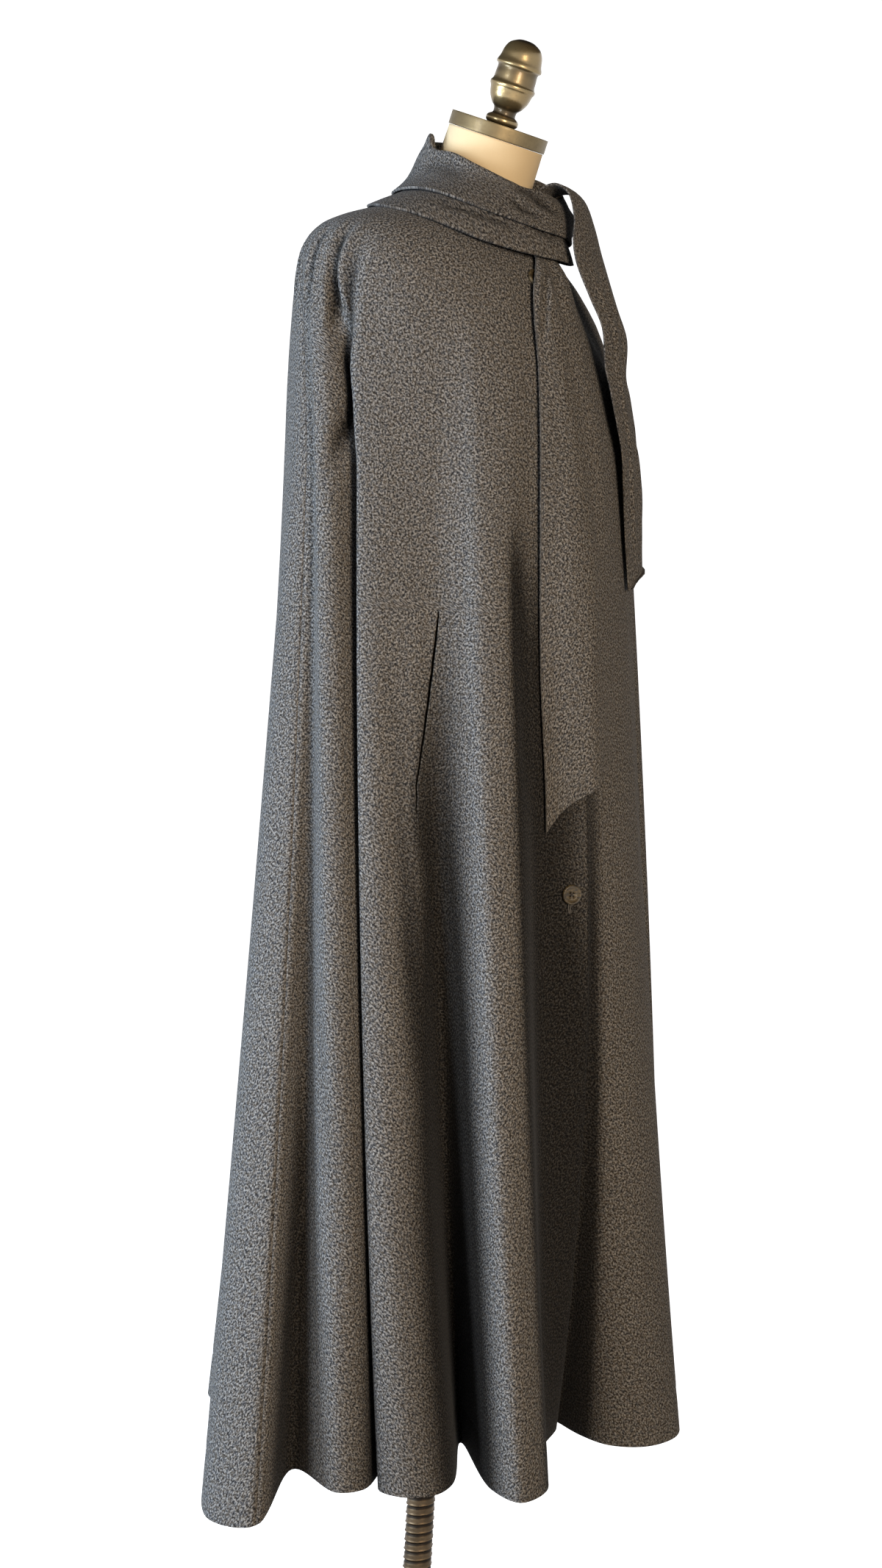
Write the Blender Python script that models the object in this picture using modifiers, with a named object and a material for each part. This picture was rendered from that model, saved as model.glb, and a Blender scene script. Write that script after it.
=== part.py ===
"""Wool cape coat with a tie collar, on a limbless dress form.

Metres, +Z up. The wearer faces -Y, so the wearer's right is -X. A bearing is an angle in degrees about the
stand's axis, from the front (0) through the wearer's right (90) to the back (180); the left is negative.
Heights of the form and the coat are those of the form at its lowest setting, and FORM_RAISED lifts them.
"""

import math
from typing import NamedTuple

import bmesh
import bpy
import numpy as np
from mathutils import Matrix, Vector
from mathutils.bvhtree import BVHTree

OBJECT_NAME = "wool_cape_coat"

# Cloth
CLOTH = 0.002
DOUBLED_CLOTH = 0.0026
SEAM_GAP = 0.0006
SEAM_STEP = 0.004
SEAM_SHARE = 0.15
TOUCH_GAP = 0.0005

# Heights of the cape's reference levels
CHEST_Z = 1.24
KNEE_Z = 0.72
HEM_Z = 0.208
FALL_ROWS = 10
FOLDS_START_Z = 1.415
COLUMN_WIDTH = 0.030
MOST_COLUMNS_A_FOLD = 5

# Front overlap, buttons and hand slits
UNDERLAP_COLUMNS = 5
SUNK_COLUMNS = 3
BUTTON_RIM = 0.0095
BUTTON_THICKNESS = 0.0042
BUTTON_STEPS = 16
BUTTON_FROM_EDGE = 0.020
BUTTON_HEIGHTS = (1.388, 1.184, 0.981, 0.777)
BUTTON_HOLE = 0.0019
BUTTON_HOLE_SPREAD = 0.0040
BUTTON_HOLES = 4
HOLE_SEGMENTS = 8
SLIT_LENGTH = 0.205
SLIT_WIDTH = 0.0034
SLIT_TOP = (1.053, 59.2)
SLIT_FOOT = (0.850, 62.0)
SLIT_CUT_DEPTH = 0.10
SLIT_SEGMENTS = 16
WELL_OUTSIDE = 0.5

# Stand and form
BASE_RADIUS = 0.180
BASE_STEPS = 32
STEM_RADIUS = 0.016
STEM_STEPS = 10
FORM_RAISED = 0.08
FORM_FOOT_Z = 0.7405
THREAD_PITCH = 0.010
THREAD_DEPTH = 0.0022
THREAD_LIP = 0.001
THREAD_LAND_FOOT = 0.0086
THREAD_LIP_HEIGHT = 0.0076
THREAD_ROOT_HEIGHT = 0.0056
THREAD_FOOT_Z = 0.090
THREADS = 21
NECK_RADIUS = 0.0512
NECK_TILT = math.radians(20.0)
NECK_TOP = Vector((0.0, -0.003, 1.548))
CAP_HEIGHT = 0.014
CAP_OVERHANG = 0.0012
CAP_BEVEL = 0.0012
CAP_STEPS = 32
FINIAL_STEPS = 16
FORM_COLUMN_STEP = 3
LAP_MARGIN_COLUMNS = 5


class Section(NamedTuple):
    """A level cut of the shoulders and neck: half widths to the side, front and back about a centre."""

    height: float
    side: float
    front: float
    back: float
    centre: float


class Fold(NamedTuple):
    """A crest or hollow of the cape: its bearing and radius at the chest, the knee and the hem."""

    name: str
    chest: tuple[float, float]
    knee: tuple[float, float]
    hem: tuple[float, float]
    dip: float = 0.0


class TailRow(NamedTuple):
    """One row across a tie end: the height and bearing of its two edges and its lift off the cape."""

    right_height: float
    right_bearing: float
    left_height: float
    left_bearing: float
    right_lift: float
    left_lift: float


class Band(NamedTuple):
    """The collar band at one bearing: heights of its edges on the neck and shoulders, and their lift."""

    bearing: float
    low_height: float
    low_lift: float
    high_height: float
    high_lift: float


class NeckLevel(NamedTuple):
    """A ring of the form's neck: its centre, half widths and its share of the tilt of the neck's flat top."""

    centre: tuple[float, float, float]
    side: float
    front: float
    tilt_share: float


# The neck and shoulders, from the collar's top down to the chest
NECK_SECTIONS = (
    Section(1.560, 0.0530, 0.0530, 0.0570, -0.004),
    Section(1.520, 0.0550, 0.0560, 0.0600, 0.008),
    Section(1.496, 0.0620, 0.0600, 0.0640, 0.017),
)
SHOULDER_SECTIONS = (
    Section(1.476, 0.080, 0.066, 0.070, 0.026),
    Section(1.460, 0.126, 0.074, 0.084, 0.025),
    Section(1.444, 0.172, 0.086, 0.098, 0.024),
    Section(1.427, 0.203, 0.100, 0.114, 0.022),
    Section(1.402, 0.218, 0.114, 0.130, 0.018),
    Section(1.362, 0.222, 0.127, 0.143, 0.012),
    Section(1.310, 0.221, 0.136, 0.150, 0.006),
)
CHEST_SECTION = Section(CHEST_Z, 0.216, 0.144, 0.152, 0.0)
SHOULDER_SQUARENESS = 2.15
FORM_TOUCHES_DOWN_TO = 1.43

# The left shoulder's front hangs closer in, by these shares of its reach at these heights
LEFT_HOLLOW = (
    (1.240, 0.0),
    (1.310, 0.11),
    (1.362, 0.26),
    (1.402, 0.35),
    (1.427, 0.35),
    (1.444, 0.27),
    (1.460, 0.11),
    (1.476, 0.0),
)
LEFT_HOLLOW_BEARING = -46.0
LEFT_HOLLOW_REACH = 50.0

# The form's neck above its shoulders
NECK_LEVELS = (
    NeckLevel(tuple(NECK_TOP), NECK_RADIUS, NECK_RADIUS, 1.0),
    NeckLevel((0.0, 0.009, 1.516), 0.0520, 0.0525, 0.95),
    NeckLevel((0.0, 0.0175, 1.493), 0.0560, 0.0545, 0.7),
)

# The form below the shoulders, down to its flat foot
FORM_SECTIONS = (
    Section(1.400, 0.190, 0.098, 0.104, 0.016),
    Section(1.350, 0.178, 0.108, 0.108, 0.010),
    Section(1.270, 0.160, 0.118, 0.108, 0.004),
    Section(1.170, 0.140, 0.108, 0.100, 0.0),
    Section(1.070, 0.128, 0.094, 0.094, 0.0),
    Section(0.960, 0.146, 0.104, 0.112, 0.0),
    Section(0.860, 0.164, 0.114, 0.122, 0.0),
    Section(0.760, 0.160, 0.112, 0.118, 0.0),
)
STEM_TOP_Z = FORM_RAISED + FORM_FOOT_Z - TOUCH_GAP

# Round the cape from the back seam line over the wearer's right to the front, then over the left
FOLDS = (
    Fold("back_crest", (180, 0.152), (180, 0.200), (180, 0.245)),
    Fold("back_hollow_right", (160, 0.156), (160, 0.170), (158, 0.180)),
    Fold("back_crest_right", (140, 0.196), (138, 0.208), (136, 0.234)),
    Fold("back_flank_right", (124, 0.206), (124, 0.206), (122, 0.222)),
    Fold("arm_hollow_right", (116, 0.210), (115, 0.212), (112, 0.206)),
    Fold("arm_flank_right", (112, 0.212), (104, 0.248), (97, 0.292), 0.025),
    Fold("arm_crest_right", (107, 0.215), (95, 0.268), (86, 0.342), 0.035),
    Fold("side_seam_right", (103, 0.213), (87, 0.262), (77, 0.338), 0.028),
    Fold("seam_hollow_right", (101, 0.210), (85.5, 0.240), (79, 0.262)),
    Fold("side_crest_right", (98, 0.218), (77, 0.262), (66, 0.293)),
    Fold("side_turn_right", (94, 0.211), (73, 0.252), (61.5, 0.276)),
    Fold("deep_hollow_right", (90.5, 0.174), (71.5, 0.198), (60.2, 0.230)),
    Fold("broad_edge_right", (87, 0.198), (70.5, 0.246), (58.3, 0.275)),
    Fold("broad_crest_right", (82, 0.190), (66.5, 0.247), (53, 0.285)),
    Fold("broad_face_right", (75, 0.175), (62, 0.236), (47.5, 0.276)),
    Fold("broad_turn_right", (69, 0.166), (58.5, 0.220), (43, 0.246)),
    Fold("slit_hollow_right", (63, 0.159), (53, 0.188), (34, 0.136)),
    Fold("front_flank_right", (57, 0.157), (45, 0.224), (35, 0.262)),
    Fold("front_crest_right", (51, 0.158), (41, 0.245), (31.5, 0.297)),
    Fold("front_turn_right", (39, 0.152), (33, 0.236), (24, 0.276)),
    Fold("front_hollow", (28, 0.144), (22, 0.190), (10, 0.185)),
    Fold("front_edge", (12, 0.139), (6, 0.199), (-12, 0.156)),
    Fold("under_edge", (9, 0.139), (3, 0.195), (-18, 0.147)),
    Fold("under_flank", (4, 0.1395), (-1, 0.197), (-11, 0.184)),
    Fold("under_turn", (-3, 0.141), (-7, 0.202), (-9, 0.222)),
    Fold("under_crest", (-14, 0.146), (-15, 0.206), (-14, 0.255)),
    Fold("under_face", (-30, 0.152), (-26, 0.207), (-24, 0.274)),
    Fold("under_far_turn", (-38, 0.160), (-37, 0.206), (-34, 0.266)),
    Fold("slit_hollow_left", (-54, 0.164), (-52, 0.186), (-49, 0.196)),
    Fold("broad_crest_left", (-68, 0.184), (-64, 0.240), (-63, 0.288)),
    Fold("broad_turn_left", (-78, 0.198), (-71, 0.238), (-70, 0.270)),
    Fold("seam_hollow_left", (-86, 0.204), (-80, 0.222), (-78, 0.232)),
    Fold("side_seam_left", (-93, 0.213), (-86, 0.250), (-85, 0.322), 0.02),
    Fold("arm_crest_left", (-100, 0.216), (-93, 0.262), (-92, 0.345), 0.03),
    Fold("arm_hollow_left", (-112, 0.208), (-106, 0.206), (-107, 0.208)),
    Fold("back_crest_left", (-136, 0.198), (-131, 0.232), (-129, 0.268)),
    Fold("back_hollow_left", (-158, 0.156), (-155, 0.178), (-152, 0.196)),
)

# The two rounds of the collar band, drawn on the neck and shoulders and the same on both sides
UNDER_BAND = (
    Band(0, 1.4040, 0.0165, 1.4500, 0.0205),
    Band(45, 1.4120, 0.0095, 1.4560, 0.0150),
    Band(75, 1.4410, 0.0041, 1.4740, 0.0080),
    Band(100, 1.4560, 0.0041, 1.4840, 0.0060),
    Band(140, 1.4640, 0.0033, 1.4900, 0.0050),
    Band(180, 1.4640, 0.0033, 1.4940, 0.0050),
)
OVER_BAND = (
    Band(0, 1.4240, 0.0246, 1.4700, 0.0330),
    Band(45, 1.4380, 0.0194, 1.4960, 0.0238),
    Band(75, 1.4630, 0.0133, 1.5150, 0.0148),
    Band(100, 1.4720, 0.0115, 1.5220, 0.0120),
    Band(140, 1.4780, 0.0110, 1.5340, 0.0120),
    Band(180, 1.4780, 0.0110, 1.5480, 0.0120),
)
BAND_COLUMNS = 40
BAND_SHARES = (0.0, 0.25, 0.5, 0.75, 0.95)
BAND_SWELL = 0.0025
# Over its top edge a rolled band goes in and up from its crest by these, then down inside
BAND_ROLL = ((0.0032, 0.0032), (0.0070, -0.0007), (0.0074, -0.0180))

# The two tie ends, from the knot down, with their slanted tips
FRONT_TAIL = (
    TailRow(1.428, 18.0, 1.428, 2.0, 0.0045, 0.0045),
    TailRow(1.400, 26.0, 1.402, -1.0, 0.0090, 0.0070),
    TailRow(1.360, 30.0, 1.362, 1.0, 0.0092, 0.0090),
    TailRow(1.300, 27.0, 1.303, -3.0, 0.0070, 0.0080),
    TailRow(1.240, 26.4, 1.245, -12.0, 0.0086, 0.0070),
    TailRow(1.130, 26.5, 1.140, -11.5, 0.0084, 0.0060),
    TailRow(1.010, 25.7, 1.040, -8.5, 0.0060, 0.0060),
    TailRow(0.920, 24.0, 0.975, -6.5, 0.0060, 0.0060),
    TailRow(0.838, 22.0, 0.912, -5.5, 0.0060, 0.0060),
)
SIDE_TAIL = (
    TailRow(1.310, -8.0, 1.310, -47.0, 0.0220, 0.0165),
    TailRow(1.240, -15.5, 1.240, -54.0, 0.0180, 0.0050),
    TailRow(1.160, -20.0, 1.165, -55.0, 0.0100, 0.0036),
    TailRow(1.095, -22.5, 1.120, -55.0, 0.0080, 0.0031),
    TailRow(1.085, -23.0, 1.125, -55.0, 0.0080, 0.0031),
)
TAIL_ROWS = 15
TAIL_COLUMNS = 7
TAIL_CROWN = 0.005

# The loop of the side tail over the band: height, radius, right and left bearings
LOOP_ARCH = (
    (1.468, 0.0535, 0.0, -40.0),
    (1.479, 0.0535, -1.0, -40.0),
    (1.491, 0.0630, -2.0, -38.0),
    (1.496, 0.0815, -3.0, -36.0),
    (1.485, 0.0995, -4.0, -34.0),
    (1.459, 0.1110, -2.0, -32.0),
    (1.434, 0.1190, 3.0, -31.0),
    (1.408, 0.1280, 4.0, -33.0),
    (1.375, 0.1400, 0.0, -37.0),
    (1.345, 0.1510, -3.5, -41.0),
)

# Turned shapes: radius and height above their own foot
FINIAL_PROFILE = (
    (0.0, 0.0870),
    (0.0090, 0.0858),
    (0.0165, 0.0815),
    (0.0205, 0.0745),
    (0.0222, 0.0665),
    (0.0240, 0.0620),
    (0.0240, 0.0595),
    (0.0215, 0.0570),
    (0.0218, 0.0500),
    (0.0222, 0.0435),
    (0.0240, 0.0405),
    (0.0240, 0.0380),
    (0.0225, 0.0350),
    (0.0205, 0.0270),
    (0.0160, 0.0195),
    (0.0125, 0.0160),
    (0.0122, 0.0105),
    (0.0150, 0.0085),
    (0.0172, 0.0060),
    (0.0172, 0.0025),
    (0.0150, 0.0),
    (0.0, 0.0),
)
BASE_PROFILE = (
    (0.0, 0.0460),
    (0.0300, 0.0460),
    (0.0330, 0.0430),
    (0.0345, 0.0330),
    (0.0420, 0.0270),
    (0.0900, 0.0220),
    (0.1500, 0.0160),
    (0.1740, 0.0120),
    (0.1790, 0.0070),
    (BASE_RADIUS, 0.0030),
    (0.1780, 0.0),
    (0.0, 0.0),
)
BASE_SOCKET_FLOOR = 0.0460
BUTTON_PROFILE = (
    (0.0, 0.0026),
    (0.0058, 0.0026),
    (0.0072, 0.0034),
    (0.0084, BUTTON_THICKNESS),
    (0.0095, 0.0036),
    (0.0100, 0.0022),
    (0.0092, 0.0006),
    (0.0070, 0.0),
    (0.0, 0.0),
)


def on_bearing(bearing, radius, height=0.0):
    """The point at a bearing and a radius from the stand's axis."""
    angle = math.radians(bearing)
    return Vector((-radius * math.sin(angle), -radius * math.cos(angle), height))


def smoothstep(value):
    value = min(max(value, 0.0), 1.0)
    return value * value * (3.0 - 2.0 * value)


# The cape's surface


def section_at(sections, height):
    """The section at any height, read between its neighbours."""
    heights = [section.height for section in sections][::-1]
    return Section(height, *(
        float(np.interp(height, heights, [getattr(section, name) for section in sections][::-1]))
        for name in ("side", "front", "back", "centre")
    ))


def hollow_share(height, bearing):
    """How much of its reach the left shoulder's front loses at a height and a bearing."""
    heights, shares = zip(*LEFT_HOLLOW)
    away = abs((bearing - LEFT_HOLLOW_BEARING + 180.0) % 360.0 - 180.0)
    share = float(np.interp(height, heights, shares, left=0.0, right=0.0))
    return share * smoothstep(1.0 - away / LEFT_HOLLOW_REACH)


def section_point(section, bearing):
    """The point of a section at a bearing about the section's own centre."""
    angle = math.radians(bearing)
    depth = section.front if math.cos(angle) > 0.0 else section.back
    power = SHOULDER_SQUARENESS
    reach = abs(math.sin(angle) / section.side) ** power + abs(math.cos(angle) / depth) ** power
    radius = reach ** (-1.0 / power) * (1.0 - hollow_share(section.height, bearing))
    return Vector((
        -radius * math.sin(angle),
        section.centre - radius * math.cos(angle),
        section.height,
    ))


def fall_point(fold, height):
    """The fold's plan point and dip at a height below the chest, on a curve through its three levels."""
    chest, knee, hem = (on_bearing(*level).to_2d() for level in (fold.chest, fold.knee, fold.hem))
    to_chest = (height - KNEE_Z) * (height - HEM_Z) / ((CHEST_Z - KNEE_Z) * (CHEST_Z - HEM_Z))
    to_knee = (height - CHEST_Z) * (height - HEM_Z) / ((KNEE_Z - CHEST_Z) * (KNEE_Z - HEM_Z))
    to_hem = (height - CHEST_Z) * (height - KNEE_Z) / ((HEM_Z - CHEST_Z) * (HEM_Z - KNEE_Z))
    plan = chest * to_chest + knee * to_knee + hem * to_hem
    fallen = (CHEST_Z - height) / (CHEST_Z - HEM_Z)
    return plan.x, plan.y, fold.dip * fallen * fallen


def shoulder_point(fold, section):
    """The fold's plan point on the shoulders, where its relief dies away toward the neck."""
    bearing, radius = fold.chest
    chest = section_point(CHEST_SECTION, bearing).to_2d().length
    kept = smoothstep((FOLDS_START_Z - section.height) / (FOLDS_START_Z - CHEST_Z))
    relief = 1.0 + (radius / chest - 1.0) * kept
    centre = Vector((0.0, section.centre))
    plan = centre + (section_point(section, bearing).to_2d() - centre) * relief
    return plan.x, plan.y, 0.0


def smooth_loop(points, spans):
    """Points on the closed centripetal Catmull-Rom curve through the given ones, at each span's shares."""
    found = []
    for index, shares in enumerate(spans):
        p0, p1, p2, p3 = (points[(index + step) % len(points)] for step in (-1, 0, 1, 2))
        knots = np.cumsum([0.0] + [
            max(np.linalg.norm(end - start), 1e-6) ** 0.5 for start, end in ((p0, p1), (p1, p2), (p2, p3))
        ])
        t0, t1, t2, t3 = knots
        for share in shares:
            t = t1 + (t2 - t1) * share
            a1 = (p0 * (t1 - t) + p1 * (t - t0)) / (t1 - t0)
            a2 = (p1 * (t2 - t) + p2 * (t - t1)) / (t2 - t1)
            a3 = (p2 * (t3 - t) + p3 * (t - t2)) / (t3 - t2)
            b1 = (a1 * (t2 - t) + a2 * (t - t0)) / (t2 - t0)
            b2 = (a2 * (t3 - t) + a3 * (t - t1)) / (t3 - t1)
            found.append((b1 * (t2 - t) + b2 * (t - t1)) / (t2 - t1))
    return np.array(found)


def fold_columns():
    """Each span's shares, more of them to a long span and one close to a seam, and each fold's first column."""
    hem = [on_bearing(*fold.hem) for fold in FOLDS]
    spans = []
    for index, fold in enumerate(FOLDS):
        after = (index + 1) % len(FOLDS)
        length = (hem[after] - hem[index]).length
        count = min(max(round(length / COLUMN_WIDTH), 2), MOST_COLUMNS_A_FOLD)
        shares = [step / count for step in range(count)]
        if fold.name.startswith("side_seam"):
            shares.insert(1, SEAM_STEP / length)
        if FOLDS[after].name.startswith("side_seam"):
            shares.append(1.0 - SEAM_STEP / length)
        spans.append(shares)
    firsts = np.cumsum([0] + [len(shares) for shares in spans[:-1]]).tolist()
    return spans, dict(zip((fold.name for fold in FOLDS), firsts))


def cape_rings():
    """The cape's outer surface as rows of points from the neck to the hem, each a closed ring."""
    spans, starts = fold_columns()
    rings = []
    for section in SHOULDER_SECTIONS:
        controls = np.array([shoulder_point(fold, section) for fold in FOLDS])
        ring = smooth_loop(controls, spans)
        ring[:, 2] = section.height
        rings.append(ring)
    for row in range(FALL_ROWS):
        height = CHEST_Z + (HEM_Z - CHEST_Z) * row / (FALL_ROWS - 1)
        ring = smooth_loop(np.array([fall_point(fold, height) for fold in FOLDS]), spans)
        ring[:, 2] = height - ring[:, 2]
        rings.append(ring)
    return np.array(rings), starts


def ring_normals(rings):
    """Unit normals of a surface of closed rings, pointing out."""
    around = np.roll(rings, -1, axis=1) - np.roll(rings, 1, axis=1)
    down = np.gradient(rings, axis=0)
    normals = np.cross(down, around)
    return normals / np.linalg.norm(normals, axis=2, keepdims=True)


# Mesh makers


def new_object(name, mesh, collection, material=None):
    made = bpy.data.objects.new(name, mesh)
    collection.objects.link(made)
    if material:
        mesh.materials.append(material)
    return made


def mesh_of(name, points, faces):
    mesh = bpy.data.meshes.new(name)
    mesh.from_pydata([tuple(point) for point in points], [], faces)
    mesh.validate()
    mesh.shade_smooth()
    return mesh


def grid_faces(rows, columns, closed):
    """Quads over rows and columns of points, wound so that they face out when columns run right to left."""
    spans = columns if closed else columns - 1
    return [
        (
            row * columns + column,
            (row + 1) * columns + column,
            (row + 1) * columns + (column + 1) % columns,
            row * columns + (column + 1) % columns,
        )
        for row in range(rows - 1)
        for column in range(spans)
    ]


def cloth_sheet(name, grid, collection, material, thickness=CLOTH, closed=False):
    """An open surface of rows of points, thickened inward into a wall of cloth."""
    rows, columns = grid.shape[:2]
    mesh = mesh_of(name, grid.reshape(-1, 3), grid_faces(rows, columns, closed))
    sheet = new_object(name, mesh, collection, material)
    wall = sheet.modifiers.new("wall", "SOLIDIFY")
    wall.thickness = thickness
    wall.offset = -1.0
    return sheet


def turned(name, profile, steps, collection, material):
    """A solid of revolution about its own Z axis from a profile that runs down its outer side."""
    edges = [(i, i + 1) for i in range(len(profile) - 1)]
    mesh = bpy.data.meshes.new(name)
    mesh.from_pydata([(radius, 0.0, height) for radius, height in profile], edges, [])
    made = new_object(name, mesh, collection, material)
    screw = made.modifiers.new("turning", "SCREW")
    screw.axis = "Z"
    screw.steps = steps
    screw.render_steps = steps
    screw.use_merge_vertices = True
    screw.merge_threshold = 0.0001
    screw.use_smooth_shade = True
    return made


def surface_tree(*objects):
    """A nearest-point tree over the evaluated meshes of the objects."""
    bpy.context.view_layer.update()
    graph = bpy.context.evaluated_depsgraph_get()
    points, faces = [], []
    for item in objects:
        evaluated = item.evaluated_get(graph)
        mesh = evaluated.to_mesh()
        mesh.calc_loop_triangles()
        faces += [[len(points) + index for index in triangle.vertices] for triangle in mesh.loop_triangles]
        points += [item.matrix_world @ vertex.co for vertex in mesh.vertices]
        evaluated.to_mesh_clear()
    return BVHTree.FromPolygons(points, faces)


# The cape's panels


def back_panel(rings, starts, collection, wool):
    """The back, from the left side seam round to the right one."""
    right = starts["side_seam_right"]
    left = starts["side_seam_left"]
    columns = list(range(left, rings.shape[1])) + list(range(0, right + 1))
    return cloth_sheet("cape_back", part_seams(rings[:, columns]), collection, wool)


def part_seams(grid, first=True, last=True):
    """Draws the panel's seam edges back by half the seam gap, and more where the columns lie wide apart."""
    grid = grid.copy()
    for use, edge, inner in ((first, 0, 1), (last, -1, -2)):
        if use:
            toward = grid[:, inner] - grid[:, edge]
            length = np.linalg.norm(toward, axis=1, keepdims=True)
            grid[:, edge] += toward / length * np.maximum(SEAM_GAP / 2.0, length * SEAM_SHARE)
    return grid


def right_front(rings, starts, collection, wool):
    """The front that laps over, from the right side seam to its free edge."""
    columns = list(range(starts["side_seam_right"], starts["front_edge"] + 1))
    return cloth_sheet("cape_front_right", part_seams(rings[:, columns], last=False), collection, wool)


def left_front(rings, starts, collection, wool):
    """The front that lies under, sunk by a wall and a gap where the other laps over it."""
    edge = starts["front_edge"]
    columns = list(range(edge - UNDERLAP_COLUMNS, starts["side_seam_left"] + 1))
    sunk = np.array([1.0 - smoothstep((column - edge) / SUNK_COLUMNS) for column in columns])
    sunk *= CLOTH + TOUCH_GAP
    grid = rings[:, columns] - ring_normals(rings)[:, columns] * sunk[None, :, None]
    return cloth_sheet("cape_front_left", part_seams(grid, first=False), collection, wool)


def cut_hand_slit(panel, name, side, collection, cutters):
    """Cuts the long, narrow hand opening through a front. side is 1 for the right and -1 for the left."""
    tree = surface_tree(panel)
    ends = []
    for height, bearing in (SLIT_TOP, SLIT_FOOT):
        far = on_bearing(bearing * side, WELL_OUTSIDE, height)
        hit = tree.ray_cast(far, (on_bearing(0, 0, height) - far).normalized())[0]
        ends.append(hit)
    top, foot = ends
    middle = (top + foot) / 2.0
    along = (top - foot).normalized()
    outward = Vector((middle.x, middle.y, 0.0)).normalized()
    across = along.cross(outward).normalized()
    outward = across.cross(along)
    frame = Matrix((across, along, outward)).transposed().to_4x4()
    outline = bmesh.new()
    bmesh.ops.create_cone(
        outline, cap_ends=True, segments=SLIT_SEGMENTS, radius1=0.5, radius2=0.5, depth=SLIT_CUT_DEPTH,
        matrix=Matrix.Diagonal((SLIT_WIDTH, SLIT_LENGTH, 1.0, 1.0)),
    )
    mesh = bpy.data.meshes.new(name)
    outline.to_mesh(mesh)
    outline.free()
    cutter = new_object(name, mesh, cutters)
    cutter.matrix_world = Matrix.Translation(middle) @ frame
    cutter.hide_render = True
    cutter.display_type = "WIRE"
    cut = panel.modifiers.new("hand slit", "BOOLEAN")
    cut.object = cutter
    cut.operation = "DIFFERENCE"
    cut.solver = "EXACT"


# The collar band and the tie ends


def ground(height, bearing, lift):
    """A point on the neck and shoulders at a height and bearing, moved out along the surface's normal."""
    sections = NECK_SECTIONS + SHOULDER_SECTIONS + (CHEST_SECTION,)
    step = 0.004
    here = section_point(section_at(sections, height), bearing)
    above = section_point(section_at(sections, height + step), bearing)
    below = section_point(section_at(sections, height - step), bearing)
    beside = section_point(section_at(sections, height), bearing - 1.0)
    normal = (below - above).cross(beside - here).normalized()
    return here + normal * lift


def band_at(bands, bearing):
    """The band's edges at any bearing, on a smooth curve between the named ones."""
    bearings = [band.bearing for band in bands]
    turn = abs(bearing)
    index = min(max(np.searchsorted(bearings, turn) - 1, 0), len(bands) - 2)
    share = smoothstep((turn - bearings[index]) / (bearings[index + 1] - bearings[index]))
    linear = (turn - bearings[index]) / (bearings[index + 1] - bearings[index])
    share = (share + linear) / 2.0
    low, high = bands[index], bands[index + 1]
    return Band(bearing, *(a + (b - a) * share for a, b in zip(low[1:], high[1:])))


def band_column(band, rolled):
    """One column of a collar band, from its low edge up; a rolled one turns over and down inside."""
    column = []
    for share in BAND_SHARES:
        height = band.low_height + (band.high_height - band.low_height) * share
        lift = band.low_lift + (band.high_lift - band.low_lift) * share
        lift += BAND_SWELL * math.sin(math.pi * share)
        column.append(ground(height, band.bearing, lift))
    if rolled:
        crest = column[-1]
        inward = Vector((-crest.x, NECK_TOP.y - crest.y, 0.0)).normalized()
        column += [crest + inward * within + Vector((0.0, 0.0, up)) for within, up in BAND_ROLL]
    return column[::-1]


def collar_band(name, bands, rolled, collection, wool):
    """A round of the collar band about the neck."""
    bearings = [180.0 - 360.0 * step / BAND_COLUMNS for step in range(BAND_COLUMNS)]
    grid = np.array([band_column(band_at(bands, bearing), rolled) for bearing in bearings])
    return cloth_sheet(name, grid.transpose(1, 0, 2), collection, wool, DOUBLED_CLOTH, closed=True)


def smooth_rows(table, count):
    """Rows of numbers read from a smooth curve through the table's rows."""
    values = np.array(table, float)
    found = []
    for place in np.linspace(0.0, len(values) - 1.0, count):
        index = min(int(place), len(values) - 2)
        share = place - index
        p0, p1, p2, p3 = (values[min(max(index + step, 0), len(values) - 1)] for step in (-1, 0, 1, 2))
        found.append(0.5 * (
            2.0 * p1 + (p2 - p0) * share + (2.0 * p0 - 5.0 * p1 + 4.0 * p2 - p3) * share ** 2
            + (3.0 * p1 - p0 - 3.0 * p2 + p3) * share ** 3
        ))
    return np.array(found)


def off_cape(tree, height, bearing, lift):
    """A point over the cape at a height and bearing, lifted off its outer face."""
    far = on_bearing(bearing, WELL_OUTSIDE, height)
    hit, normal, _, _ = tree.ray_cast(far, (Vector((0.0, 0.0, height)) - far).normalized())
    level = Vector((normal.x, normal.y, 0.0)).normalized()
    return hit + level * lift


def tail_grid(table, tree, count):
    """The face of a tie end that lies over the cape, crowned between its two edges."""
    grid = []
    for row in smooth_rows(table, count):
        right_height, right_bearing, left_height, left_bearing, right_lift, left_lift = row
        cells = []
        for share in np.linspace(0.0, 1.0, TAIL_COLUMNS):
            height = right_height + (left_height - right_height) * share
            bearing = right_bearing + (left_bearing - right_bearing) * share
            lift = right_lift + (left_lift - right_lift) * share
            cells.append(off_cape(tree, height, bearing, lift + TAIL_CROWN * math.sin(math.pi * share)))
        grid.append(cells)
    return np.array(grid)


def front_tail(tree, collection, wool):
    grid = tail_grid(FRONT_TAIL, tree, TAIL_ROWS)
    return cloth_sheet("tie_end_front", grid, collection, wool, DOUBLED_CLOTH)


def side_tail(tree, collection, wool):
    """The tie end that comes up behind the band, loops over it and hangs at the wearer's left."""
    arch = []
    for height, radius, right, left in smooth_rows(LOOP_ARCH, 2 * len(LOOP_ARCH) - 1):
        bearings = np.linspace(right, left, TAIL_COLUMNS)
        arch.append([on_bearing(bearing, radius, height) for bearing in bearings])
    grid = np.concatenate([np.array(arch), tail_grid(SIDE_TAIL, tree, TAIL_ROWS - 4)])
    return cloth_sheet("tie_end_side", grid, collection, wool, DOUBLED_CLOTH)


# Buttons


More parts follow.
